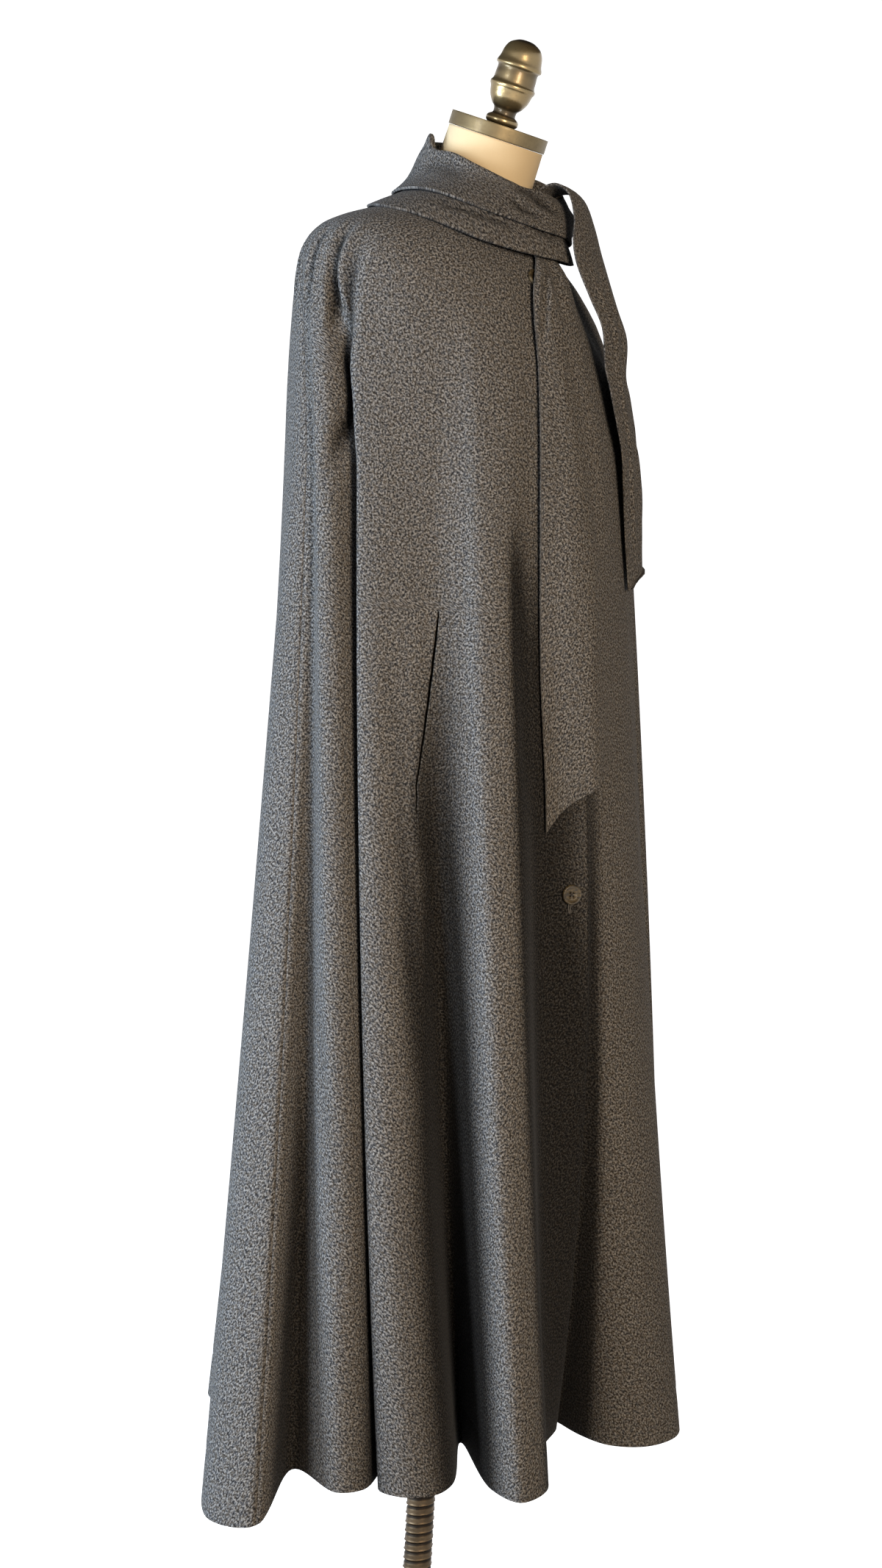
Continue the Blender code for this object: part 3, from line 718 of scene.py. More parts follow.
@dataclass(frozen=True)
class LinenCover:
    """The form's closely woven cream cover, with a little slub and some soiling."""

    cream: Triple = (0.76, 0.60, 0.37)
    shade: Triple = (0.68, 0.51, 0.30)
    threads: float = 1500.0

    def material(self) -> Material:
        """Builds the cover's material.

        Returns:
            The material.
        """
        made = Shading("linen_cover", 0.82)
        cut = made.layer("cut").outputs["Vector"]
        weft = made.noise(made.turned(cut, (90.0, self.threads, 1.0)), 1.0, 2.0)
        warp = made.noise(made.turned(cut, (self.threads, 90.0, 1.0)), 1.0, 2.0)
        soil = made.noise(cut, 9.0, 4.0, 0.6)
        woven = weft * 0.5 + warp * 0.5
        colour = made.mixed(soil.between(0.42, 0.72) * 0.45, self.cream, self.shade)
        made.set({
            "Base Color": made.mixed(woven.between(0.35, 0.65) * 0.14, colour, self.shade),
            "Roughness": 0.90 - woven * 0.12,
            "Normal": made.bump(woven, 0.0003, 0.5),
            "Sheen Weight": 0.08,
            "Specular IOR Level": 0.25,
        })
        return made.material


@dataclass(frozen=True)
class AgedMetal:
    """Turned metal gone brown in its grooves and rubbed bright on its ridges."""

    name: str
    bright: Triple
    dull: Triple
    dark: Triple
    roughness: float
    metallic: float
    coat: float = 0.0

    def material(self) -> Material:
        """Builds the metal's material. The layer worn is 1 on ridges and 0 in grooves.

        Returns:
            The material.
        """
        made = Shading(self.name, self.roughness, self.metallic)
        worn = Value(made, made.layer("worn").outputs["Fac"])
        place = made.metres()
        patina = made.noise(place, 75.0, 5.0, 0.62)
        specks = made.noise(place, 420.0, 3.0, 0.6)
        turning = made.noise(made.turned(place, (14.0, 14.0, 1300.0)), 1.0, 2.0)
        rubbed = (worn * 0.75 + patina * 0.9 - 0.35).between(0.0, 0.9)
        colour = made.mixed(rubbed, self.dull, self.bright)
        colour = made.mixed((1.0 - worn).between(0.35, 1.0) * 0.8, colour, self.dark)
        colour = made.mixed(specks.between(0.62, 0.78) * 0.55, colour, self.dark)
        made.set({
            "Base Color": colour,
            "Roughness": self.roughness + (1.0 - rubbed) * 0.16 + specks * 0.10,
            "Normal": made.bump(patina * 0.5 + specks * 0.3 + turning * 0.25, 0.0003, 0.5),
            "Coat Weight": self.coat,
            "Coat Roughness": 0.12,
        })
        return made.material


@dataclass(frozen=True)
class PolishedHorn:
    """Brown horn with streaks from near black to amber."""

    amber: Triple = (0.110, 0.082, 0.042)
    brown: Triple = (0.026, 0.019, 0.010)

    def material(self) -> Material:
        """Builds the horn's material.

        Returns:
            The material.
        """
        made = Shading("polished_horn", 0.28)
        place = made.metres()
        streaks = made.noise(made.turned(place, (160.0, 160.0, 620.0), 20.0), 1.0, 4.0, 0.6)
        made.set({
            "Base Color": made.mixed(streaks.between(0.36, 0.66), self.brown, self.amber),
            "Roughness": 0.34 + streaks * 0.14,
            "Normal": made.bump(streaks, 0.0001, 0.4),
            "Coat Weight": 0.06,
            "Coat Roughness": 0.12,
            "Specular IOR Level": 0.30,
        })
        return made.material


@dataclass(frozen=True)
class Thread:
    """Twisted sewing thread."""

    name: str
    colour: Triple

    def material(self) -> Material:
        """Builds the thread's material.

        Returns:
            The material.
        """
        made = Shading(self.name, 0.85)
        ply = made.noise(made.metres(), 900.0, 2.0)
        dark = tuple(channel * 0.55 for channel in self.colour)
        made.set({
            "Base Color": made.mixed(ply.between(0.35, 0.65), dark, self.colour),
            "Normal": made.bump(ply, 0.0002, 0.6),
        })
        return made.material


@dataclass(frozen=True)
class Finishes:
    """One material of each kind."""

    wool: Material
    linen: Material
    bronze: Material
    stem: Material
    brass: Material
    iron: Material
    horn: Material
    dark_thread: Material
    grey_thread: Material


def all_finishes() -> Finishes:
    """Makes every finish once.

    Returns:
        The finishes.
    """
    return Finishes(
        wool=HeatherWool().material(),
        linen=LinenCover().material(),
        bronze=AgedMetal(
            "aged_bronze", (0.19, 0.145, 0.075), (0.115, 0.085, 0.045), (0.03, 0.022, 0.013), 0.38, 0.85, 0.08
        ).material(),
        stem=AgedMetal(
            "oiled_bronze", (0.11, 0.075, 0.042), (0.030, 0.021, 0.012), (0.006, 0.004, 0.003), 0.34, 0.85
        ).material(),
        brass=AgedMetal(
            "lacquered_brass", (0.25, 0.185, 0.09), (0.14, 0.10, 0.048), (0.035, 0.025, 0.013),
            0.24, 0.80, 0.28,
        ).material(),
        iron=AgedMetal(
            "dark_iron", (0.11, 0.10, 0.09), (0.055, 0.050, 0.045), (0.02, 0.018, 0.016), 0.48, 0.75
        ).material(),
        horn=PolishedHorn().material(),
        dark_thread=Thread("dark_thread", (0.035, 0.030, 0.028)).material(),
        grey_thread=Thread("grey_thread", (0.105, 0.095, 0.082)).material(),
    )


# The cape


@dataclass
class CapeSurface:
    """The cape's outer face as closed rings of points, from the neck down to the hem."""

    squareness: float = 2.15
    hollows: tuple[Hollow, ...] = (
        Hollow(-46.0, 50.0, (
            (1.240, 0.0), (1.310, 0.11), (1.362, 0.26), (1.402, 0.35), (1.427, 0.35), (1.444, 0.27),
            (1.460, 0.11), (1.476, 0.0),
        )),
        Hollow(-88.0, 62.0, (
            (1.240, 0.0), (1.300, 0.03), (1.354, 0.09), (1.377, 0.13), (1.402, 0.19), (1.423, 0.25),
            (1.441, 0.28), (1.456, 0.23), (1.470, 0.11), (1.482, 0.02), (1.492, 0.0),
        )),
    )
    folds_start_z: float = 1.415
    column_width: float = 0.0065
    shoulder_steps: int = 6
    fall_rows: int = 104
    hem_turn: float = 0.043
    groove_half_width: float = 0.003
    sections: tuple[Section, ...] = (
        Section(1.476, 0.080, 0.066, 0.070, 0.026),
        Section(1.460, 0.126, 0.074, 0.084, 0.025),
        Section(1.444, 0.172, 0.086, 0.098, 0.024),
        Section(1.427, 0.203, 0.100, 0.114, 0.022),
        Section(1.402, 0.218, 0.114, 0.130, 0.018),
        Section(1.362, 0.222, 0.127, 0.143, 0.012),
        Section(1.310, 0.221, 0.136, 0.150, 0.006),
        Section(CHEST_Z, 0.216, 0.144, 0.152, 0.0),
    )
    folds: tuple[Fold, ...] = (
        Fold("back_crest", (180, 0.152), (180, 0.200), (180, 0.245)),
        Fold("back_hollow_right", (160, 0.156), (160, 0.170), (158, 0.180)),
        Fold("back_crest_right", (140, 0.196), (138, 0.208), (136, 0.234)),
        Fold("back_flank_right", (124, 0.206), (124, 0.206), (122, 0.222)),
        Fold("arm_hollow_right", (116, 0.210), (115, 0.212), (112, 0.206)),
        Fold("arm_flank_right", (112, 0.212), (104, 0.248), (97, 0.292), 0.025),
        Fold("arm_crest_right", (107, 0.215), (95, 0.268), (86, 0.342), 0.035),
        Fold("side_seam_right", (103, 0.213), (87, 0.262), (77, 0.338), 0.028),
        Fold("seam_hollow_right", (101, 0.210), (85.5, 0.240), (79, 0.262)),
        Fold("side_crest_right", (98, 0.218), (77, 0.262), (66, 0.293)),
        Fold("side_turn_right", (94, 0.211), (73, 0.252), (61.5, 0.276)),
        Fold("deep_hollow_right", (90.5, 0.174), (71.5, 0.198), (60.2, 0.230)),
        Fold("broad_edge_right", (87, 0.198), (70.5, 0.246), (58.3, 0.275)),
        Fold("broad_crest_right", (82, 0.190), (66.5, 0.247), (53, 0.285)),
        Fold("broad_face_right", (75, 0.175), (62, 0.236), (47.5, 0.276)),
        Fold("broad_turn_right", (69, 0.166), (58.5, 0.220), (43, 0.246)),
        Fold("slit_hollow_right", (63, 0.159), (53, 0.188), (34, 0.136)),
        Fold("front_flank_right", (57, 0.157), (45, 0.224), (35, 0.262)),
        Fold("front_crest_right", (51, 0.158), (41, 0.245), (31.5, 0.297)),
        Fold("front_turn_right", (39, 0.152), (33, 0.236), (24, 0.276)),
        Fold("front_hollow", (28, 0.144), (22, 0.190), (10, 0.185)),
        Fold("front_edge", (12, 0.139), (6, 0.199), (-12, 0.156)),
        Fold("under_edge", (9, 0.139), (3, 0.195), (-18, 0.147)),
        Fold("under_flank", (4, 0.1395), (-1, 0.197), (-11, 0.184)),
        Fold("under_turn", (-3, 0.141), (-7, 0.202), (-9, 0.222)),
        Fold("under_crest", (-14, 0.146), (-15, 0.206), (-14, 0.255)),
        Fold("under_face", (-30, 0.152), (-26, 0.207), (-24, 0.274)),
        Fold("under_far_turn", (-38, 0.160), (-37, 0.206), (-34, 0.266)),
        Fold("slit_hollow_left", (-54, 0.164), (-52, 0.186), (-49, 0.196)),
        Fold("broad_crest_left", (-68, 0.184), (-64, 0.240), (-63, 0.288)),
        Fold("broad_turn_left", (-78, 0.198), (-71, 0.238), (-70, 0.270)),
        Fold("seam_hollow_left", (-86, 0.204), (-80, 0.222), (-78, 0.232)),
        Fold("side_seam_left", (-93, 0.213), (-86, 0.250), (-85, 0.322), 0.02),
        Fold("arm_crest_left", (-100, 0.216), (-93, 0.262), (-92, 0.345), 0.03),
        Fold("arm_hollow_left", (-112, 0.208), (-106, 0.206), (-107, 0.208)),
        Fold("back_crest_left", (-136, 0.198), (-131, 0.232), (-129, 0.268)),
        Fold("back_hollow_left", (-158, 0.156), (-155, 0.178), (-152, 0.196)),
    )
    starts: dict[str, int] = field(default_factory=dict)
    counts: dict[str, int] = field(default_factory=dict)
    fold_reach: float = 36.0
    crease_steps: int = 6
    rings: np.ndarray = field(init=False)
    normals: np.ndarray = field(init=False)
    depths: np.ndarray = field(init=False)
    tree: BVHTree = field(init=False)

    def __post_init__(self) -> None:
        """Works the rings out."""
        sections = np.array(self.sections)
        fine = evenly(sections, (len(sections) - 1) * self.shoulder_steps + 1)
        heights = np.linspace(CHEST_Z, HEM_Z, self.fall_rows)[1:]
        turn = HEM_Z + self.hem_turn
        beside = self.groove_half_width
        heights = np.array(sorted({*heights, turn + beside, turn, turn - beside}, reverse=True))
        controls = np.array([
            np.concatenate([self.on_shoulder(fold, fine), self.on_fall(fold, heights)]) for fold in self.folds
        ])
        self.rings = self.loop_through(controls)
        self.ease_chest(len(fine) - 1)
        self.normals = grid_normals(self.rings, closed=True)
        self.depths = self.fold_depths()
        self.tree = self.make_tree(self.rings)

    def section_plan(self, sections: np.ndarray, bearing: float) -> np.ndarray:
        """Finds the plan points of sections at a bearing about their centres.

        Args:
            sections: Rows of height, side, front, back and centre.
            bearing: Degrees from the front through the wearer's right.

        Returns:
            A plan point for each section.
        """
        angle = math.radians(bearing)
        depth = sections[:, 2] if math.cos(angle) > 0.0 else sections[:, 3]
        reach = np.abs(math.sin(angle) / sections[:, 1]) ** self.squareness
        reach += np.abs(math.cos(angle) / depth) ** self.squareness
        radius = reach ** (-1.0 / self.squareness)
        for hollow in self.hollows:
            away = abs((bearing - hollow.bearing + 180.0) % 360.0 - 180.0)
            heights, shares = zip(*hollow.shares)
            share = np.interp(sections[:, 0], heights, shares, left=0.0, right=0.0)
            radius = radius * (1.0 - share * smoothstep(np.array(1.0 - away / hollow.reach)))
        return np.stack([-radius * math.sin(angle), sections[:, 4] - radius * math.cos(angle)], axis=1)

    def on_shoulder(self, fold: Fold, sections: np.ndarray) -> np.ndarray:
        """Follows a fold down the shoulders, where its relief grows from nothing.

        Args:
            fold: The crest or hollow.
            sections: Rows of height, side, front, back and centre.

        Returns:
            Its points.
        """
        bearing, radius = fold.chest
        chest = np.linalg.norm(self.section_plan(np.array(self.sections[-1:]), bearing)[0])
        kept = smoothstep((self.folds_start_z - sections[:, 0]) / (self.folds_start_z - CHEST_Z))
        centre = np.stack([np.zeros(len(sections)), sections[:, 4]], axis=1)
        relief = 1.0 + (radius / chest - 1.0) * kept
        plan = centre + (self.section_plan(sections, bearing) - centre) * relief[:, None]
        return np.column_stack([plan, sections[:, 0]])

    def on_fall(self, fold: Fold, heights: np.ndarray) -> np.ndarray:
        """Follows a fold from the chest to the hem, on a curve through its three levels.

        Args:
            fold: The crest or hollow.
            heights: Heights above the floor.

        Returns:
            Its points.
        """
        chest, knee, hem = (np.array(on_bearing(*level))[:2] for level in (fold.chest, fold.knee, fold.hem))
        to_chest = (heights - KNEE_Z) * (heights - HEM_Z) / ((CHEST_Z - KNEE_Z) * (CHEST_Z - HEM_Z))
        to_knee = (heights - CHEST_Z) * (heights - HEM_Z) / ((KNEE_Z - CHEST_Z) * (KNEE_Z - HEM_Z))
        to_hem = (heights - CHEST_Z) * (heights - KNEE_Z) / ((HEM_Z - CHEST_Z) * (HEM_Z - KNEE_Z))
        plan = np.outer(to_chest, chest) + np.outer(to_knee, knee) + np.outer(to_hem, hem)
        fallen = (CHEST_Z - heights) / (CHEST_Z - HEM_Z)
        return np.column_stack([plan, heights - fold.dip * fallen**2])

    def loop_through(self, controls: np.ndarray) -> np.ndarray:
        """Joins the folds into closed rings on centripetal curves.

        Args:
            controls: Points for each fold and row.

        Returns:
            Points in rows and columns.
        """
        columns = []
        for index, fold in enumerate(self.folds):
            points = [controls[(index + step) % len(controls)] for step in (-1, 0, 1, 2)]
            spans = [
                np.maximum(np.linalg.norm((end - start)[:, :2], axis=1), 1e-6) ** 0.5
                for start, end in zip(points, points[1:])
            ]
            t1 = spans[0]
            t2, t3 = t1 + spans[1], t1 + spans[1] + spans[2]
            length = np.linalg.norm(points[2][-1] - points[1][-1])
            count = int(max(round(length / self.column_width), 5))
            self.starts[fold.name] = len(columns)
            self.counts[fold.name] = count
            for share in np.arange(count) / count:
                t = (t1 + (t2 - t1) * share)[:, None]
                u0, u1, u2, u3 = 0.0, t1[:, None], t2[:, None], t3[:, None]
                a1 = (points[0] * (u1 - t) + points[1] * (t - u0)) / (u1 - u0)
                a2 = (points[1] * (u2 - t) + points[2] * (t - u1)) / (u2 - u1)
                a3 = (points[2] * (u3 - t) + points[3] * (t - u2)) / (u3 - u2)
                b1 = (a1 * (u2 - t) + a2 * (t - u0)) / (u2 - u0)
                b2 = (a2 * (u3 - t) + a3 * (t - u1)) / (u3 - u1)
                columns.append((b1 * (u2 - t) + b2 * (t - u1)) / (u2 - u1))
        return np.array(columns).transpose(1, 0, 2)

    def ease_chest(self, row: int, reach: int = 14, rounds: int = 40) -> None:
        """Softens the turn where the shoulders pass into the fall.

        Args:
            row: The chest's row.
            reach: How many rows each way are eased.
            rounds: How often.
        """
        away = np.abs(np.arange(len(self.rings)) - row) / reach
        weight = 0.5 * (1.0 - smoothstep(away))[1:-1, None, None]
        for _ in range(rounds):
            middle = (self.rings[:-2] + self.rings[2:]) / 2.0 - self.rings[1:-1]
            self.rings[1:-1, :, :2] += (middle * weight)[:, :, :2]

    def fold_depths(self) -> np.ndarray:
        """Finds how far each point lies inside the crests on both sides of it.

        Returns:
            Metres for each point of the rings.
        """
        bearings = np.degrees(np.arctan2(self.rings[:, :, 0], self.rings[:, :, 1]))
        radii = np.hypot(self.rings[:, :, 0], self.rings[:, :, 1])
        found = np.zeros_like(radii)
        for row, (turns, reach) in enumerate(zip(bearings, radii)):
            away = (turns[None] - turns[:, None] + 180.0) % 360.0 - 180.0
            near = np.abs(away) <= self.fold_reach
            before = np.where(near & (away <= 0.0), reach[None], 0.0).max(axis=1)
            after = np.where(near & (away >= 0.0), reach[None], 0.0).max(axis=1)
            found[row] = np.minimum(before, after) - reach
        return np.maximum(found, 0.0)

    def make_tree(self, grid: np.ndarray) -> BVHTree:
        """Makes a search tree over every second row and column of the rings.

        Args:
            grid: The rings' points.

        Returns:
            The tree.
        """
        coarse = grid[::2, ::2]
        points = [Vector(point) for point in coarse.reshape(-1, 3)]
        return BVHTree.FromPolygons(points, grid_faces(*coarse.shape[:2]))

    def hit(self, height: float, bearing: float) -> tuple[Vector, Vector]:
        """Finds the cape's outer face at a height and bearing.

        Args:
            height: Height of the place.
            bearing: Its bearing about the stand.

        Returns:
            The point and its normal.
        """
        far = on_bearing(bearing, FAR_OUT, height)
        place, normal, _, _ = self.tree.ray_cast(far, Vector((-far.x, -far.y, 0.0)).normalized())
        return place, normal

    def off(self, height: float, bearing: float, lift: float) -> Vector:
        """Finds a point that a level distance parts from the cape's outer face."""
        place, normal = self.hit(height, bearing)
        return place + Vector((normal.x, normal.y, 0.0)).normalized() * lift

    def crease_paths(self, creases: Sequence[Crease]) -> list[tuple[np.ndarray, Crease]]:
        """Lays creases on the cape.

        Args:
            creases: Creases whose places are a bearing and a height.

        Returns:
            Each crease with the points that it runs through.
        """
        laid = []
        for crease in creases:
            places = evenly(np.array(crease.path, float), self.crease_steps * len(crease.path))
            line = [self.hit(height, bearing)[0] for bearing, height in places]
            laid.append((np.array([tuple(point) for point in line]), crease))
        return laid


@dataclass
class HandSlit:
    """A long hand opening between two pressed lips, with its row of stitches."""

    side: int
    top: tuple[float, float] = (1.053, 59.2)
    foot: tuple[float, float] = (0.850, 62.0)
    width: float = 0.0030
    least: float = 0.0008
    lip: float = 0.0007
    lip_reach: float = 0.006
    fade: float = 0.35
    search_columns: int = 8
    shift_columns: float = 9.0
    parting_columns: float = 2.2
    stitch_away: float = 0.0125
    stitch_length: float = 0.0030
    stitch_pitch: float = 0.0055

    def open(self, grid: np.ndarray, normals: np.ndarray) -> tuple[np.ndarray, list, np.ndarray]:
        """Draws the columns beside the slit together and finds the faces to leave out.

        Args:
            grid: The panel, in rows and columns.
            normals: Its normals.

        Returns:
            The new grid, the faces' rows and columns, and the slit's points.
        """
        bearings = np.degrees(np.arctan2(-grid[:, :, 0], -grid[:, :, 1]))
        places = (grid[:, :, 2] - self.foot[0]) / (self.top[0] - self.foot[0])
        wanted = self.side * (self.foot[1] + (self.top[1] - self.foot[1]) * places)
        apart = bearings - wanted
        middle_row = int(np.abs(places[:, grid.shape[1] // 2] - 0.5).argmin())
        column = int(np.abs(apart[middle_row]).argmin())
        taken, line = [], []
        moved = grid.copy()
        steps = np.arange(grid.shape[1], dtype=float)
        at = float(column)
        for row in range(grid.shape[0]):
            share = places[row, column]
            fade = float(smoothstep(np.array(1.0 - max(share - 1.0, -share, 0.0) / self.fade)))
            if fade <= 0.0:
                continue
            window = np.arange(column - self.search_columns, column + self.search_columns)
            crossings = [c for c in window if apart[row, c] * apart[row, c + 1] <= 0.0]
            if crossings:
                c = min(crossings, key=lambda found: abs(found - at))
                at = c + apart[row, c] / (apart[row, c] - apart[row, c + 1] + 1e-12)
            spacing = np.linalg.norm(grid[row, column + 1] - grid[row, column])
            bow = math.sqrt(max(1.0 - (2.0 * min(max(share, 0.0), 1.0) - 1.0) ** 2, 0.0))
            half = (self.least + (self.width - self.least) * bow) / spacing / 2.0
            centre = column + 0.5
            from_centre = steps - centre
            shift = (at - centre) * np.exp(-((from_centre / self.shift_columns) ** 2))
            parting = np.exp(-((np.abs(from_centre) - 0.5) / self.parting_columns))
            shift -= np.sign(from_centre) * (0.5 - half) * parting
            target = steps + shift * fade
            for axis in range(3):
                moved[row, :, axis] = np.interp(target, steps, grid[row, :, axis])
            if 0.0 <= share <= 1.0:
                taken.append((row, column))
                line.append((moved[row, column] + moved[row, column + 1]) / 2.0)
        slit = np.array(line)
        near = np.linalg.norm(moved[:, :, None] - slit[None, None, ::3], axis=3).min(axis=2)
        raised = self.lip * np.exp(-((near / self.lip_reach) ** 2))
        return moved + normals * raised[:, :, None], taken, slit

    def stitches(self, surface: CapeSurface, slit: np.ndarray) -> list[list[Vector]]:
        """Lays the stitches that hold the facing, in front of the slit.

        Args:
            surface: The cape.
            slit: The slit's points, from its top down.

        Returns:
            The two ends and the middle of each stitch.
        """
        length = np.linalg.norm(slit[-1] - slit[0])
        count = int(length / self.stitch_pitch)
        found = []
        for step in range(count):
            ends = []
            for part in (0.0, 0.5, 1.0):
                share = (step * self.stitch_pitch + part * self.stitch_length) / length
                point = through_rows(slit, np.array([share * (len(slit) - 1.0)]))[0]
                radius = math.hypot(point[0], point[1])
                bearing = math.degrees(math.atan2(-point[0], -point[1]))
                bearing -= self.side * math.degrees(self.stitch_away / radius)
                place, normal = surface.hit(float(point[2]), bearing)
                ends.append(place + normal * (0.0002 + 0.0003 * math.sin(math.pi * part)))
            found.append(ends)
        return found


@dataclass
class Cape:
    """The cape's three panels, with their creases, hems, hand slits and stitching, and painted shade in their
    folds.
    """

    surface: CapeSurface
    allowance_columns: int = 2
    allowance_middle: float = 0.006
    allowance_half: float = 0.004
    seam_line: float = 0.0025
    seam_swell: float = 0.0006
    # How strongly crease troughs and fold depths darken the wool: painted shade.
    crease_shade: float = 6.0
    shade_from: float = 0.006
    shade_over: float = 0.036
    # Painted shade on the lap's strip and in the gap beside the front edge.
    lap_shade: float = 0.044
    lap_span: tuple[float, float] = (1.24, 0.26)
    lap_lead: int = 3
    left_kept: int = 60
    hem_groove: float = 0.0005
    selvage_steps: tuple[float, ...] = (0.0008, 0.0024)
    creases: tuple[Crease, ...] = (
        Crease("shoulder_pleat_outer", ((108, 1.425), (110, 1.395), (111, 1.345)), 0.005, 0.0065),
        Crease("shoulder_pleat_middle", ((98, 1.430), (101, 1.395), (103, 1.330)), 0.005, 0.0060),
        Crease("shoulder_pleat_inner", ((90, 1.432), (93, 1.390), (95, 1.300)), 0.006, 0.0070),
        Crease("shoulder_long_fold", ((84, 1.428), (88, 1.370), (91, 1.270), (91.5, 1.150)), 0.009, 0.0070),
        Crease("shoulder_pleat_left_inner", ((-90, 1.432), (-93, 1.390), (-95, 1.310)), 0.007, 0.0026),
        Crease("shoulder_pleat_left_outer", ((-104, 1.428), (-106, 1.395), (-108, 1.340)), 0.006, 0.0028),
        Crease("back_yoke_left", ((-148, 1.405), (-152, 1.330), (-150, 1.230)), 0.012, 0.0022),
        Crease("back_yoke_right", ((150, 1.405), (153, 1.320), (150, 1.210)), 0.012, 0.0024),
        Crease("broad_face_soft", ((72, 1.10), (67, 0.92), (60, 0.72), (55, 0.56)), 0.014, 0.0022),
        Crease("front_face_soft", ((36, 1.18), (33, 1.00), (30, 0.84)), 0.014, 0.0024),
        Crease("left_face_soft", ((-36, 1.16), (-34, 0.95), (-32, 0.70)), 0.016, 0.0022),
        Crease("side_crest_soft", ((80, 0.70), (72, 0.52), (68, 0.34)), 0.011, 0.0020),
    )

    def build(self, maker: Maker, finishes: Finishes) -> None:
        """Builds the panels and their stitching.

        Args:
            maker: Makes the pieces.
            finishes: The part's materials.
        """
        surface = self.surface
        rings = pressed(surface.rings, surface.normals, surface.crease_paths(self.creases))
        # Painted shade: the troughs of the creases and the depth of each fold darken the wool.
        troughs = ((surface.rings - rings) * surface.normals).sum(axis=2)
        folded = surface.depths + self.crease_shade * np.maximum(troughs, 0.0)
        rings = rings - surface.normals * self.hem_relief()[:, None, None]
        rings = rings + surface.normals * self.seam_relief()[:, :, None]
        starts, counts, total = surface.starts, surface.counts, rings.shape[1]
        right, left, edge = (starts[name] for name in ("side_seam_right", "side_seam_left", "front_edge"))
        self.shade_lap(folded, rings[:, :, 2])

        tuck = self.allowance_columns
        back = list(range(left - tuck, left + 1)) + list(range(left, total)) + list(range(0, right + 1))
        back += list(range(right, right + tuck + 1))
        sunk = np.zeros(len(back))
        sunk[:tuck + 1] = sunk[-tuck - 1:] = CLOTH + GAP
        grid = rings[:, back] - surface.normals[:, back] * sunk[None, :, None]
        self.panel(maker, finishes, "cape_back", grid, folded[:, back])

        grid = rings[:, right:edge + 1]
        grid, taken, slit = HandSlit(1).open(grid, surface.normals[:, right:edge + 1])
        depths = folded[:, right:edge + 1]
        self.panel(maker, finishes, "cape_front_right", grid, depths, taken)
        self.sew(maker, finishes, "slit_stitches_right", HandSlit(1).stitches(surface, slit))

        under = starts["front_turn_right"] + counts["front_turn_right"] // 4
        ramp = starts["under_edge"] + counts["under_edge"] + counts["under_flank"] // 2 - edge
        columns = np.arange(under, left + 1)
        sunk = (1.0 - smoothstep((columns - edge) / ramp)) * (CLOTH + GAP)
        normals = surface.normals[:, under:left + 1]
        grid = rings[:, under:left + 1] - normals * sunk[None, :, None]
        grid, taken, slit = HandSlit(-1).open(grid, normals)
        depths = folded[:, under:left + 1]
        self.panel(maker, finishes, "cape_front_left", grid, depths, taken)
        self.sew(maker, finishes, "slit_stitches_left", HandSlit(-1).stitches(surface, slit))

    def shade_lap(self, folded: np.ndarray, heights: np.ndarray) -> None:
        """Deepens the painted shade on the lap's strip, paints shade in the gap beside its free edge, and
        weakens the painted fold shade on the under front past that edge.

        Args:
            folded: How deep each point lies in a fold, which sets the painted shade and which it changes.
            heights: Height of each point.
        """
        starts = self.surface.starts
        begin, edge = starts["front_turn_right"] - self.lap_lead, starts["front_edge"]
        end = starts["side_seam_left"] - self.left_kept
        top, fade = self.lap_span
        below = smoothstep((top - heights) / fade)
        across = np.arange(edge + 1 - begin)
        lap = self.lap_shade * smoothstep(across / 5.0) * (1.0 - 0.5 * across / across[-1])
        folded[:, begin:edge + 1] += lap * below[:, begin:edge + 1]
        past_edge = np.arange(end - edge)
        # Keeps most of the painted fold shade off the under front past the edge.
        folded[:, edge:end] *= 1.0 - 0.85 * smoothstep((past_edge - 6.0) / 10.0)
        # Painted shadow in the gap beside the free edge.
        gap = 0.7 * self.lap_shade * (1.0 - smoothstep((past_edge - 4.0) / 12.0))
        folded[:, edge:end] += gap * below[:, edge:end]

    def hem_relief(self) -> np.ndarray:
        """Finds each row's groove, which is deepest on the line that holds the turned hem.

        Returns:
            The groove's depth in each row.
        """
        surface = self.surface
        rise = surface.rings[:, surface.starts["front_hollow"], 2] - HEM_Z
        away = (rise - surface.hem_turn) / surface.groove_half_width
        return self.hem_groove * np.exp(-(away**2))

    def seam_relief(self) -> np.ndarray:
        """Finds the swell of the pressed-open allowances beside each side seam.

        Returns:
            The relief of each point.
        """
        surface = self.surface
        relief = np.zeros(surface.rings.shape[:2])
        for name in ("side_seam_right", "side_seam_left"):
            seam = surface.rings[:, [surface.starts[name]]]
            away = np.linalg.norm(surface.rings - seam, axis=2)
            swell = np.exp(-(((away - self.allowance_middle) / self.allowance_half) ** 2))
            relief += self.seam_swell * (swell - np.exp(-((away / self.seam_line) ** 2)))
        return relief

    def panel(
        self,
        maker: Maker,
        finishes: Finishes,
        name: str,
        grid: np.ndarray,
        depths: np.ndarray,
        left_out: Sequence[tuple[int, int]] = (),
    ) -> None:
        """Makes a panel in place of its solid.

        Args:
            maker: Makes the piece.
            finishes: The part's materials.
            name: The node's name.
            grid: The panel, in rows and columns.
            depths: How deep each point lies in a fold, which sets the painted shade on the wool.
            left_out: Faces that the hand slit takes.
        """
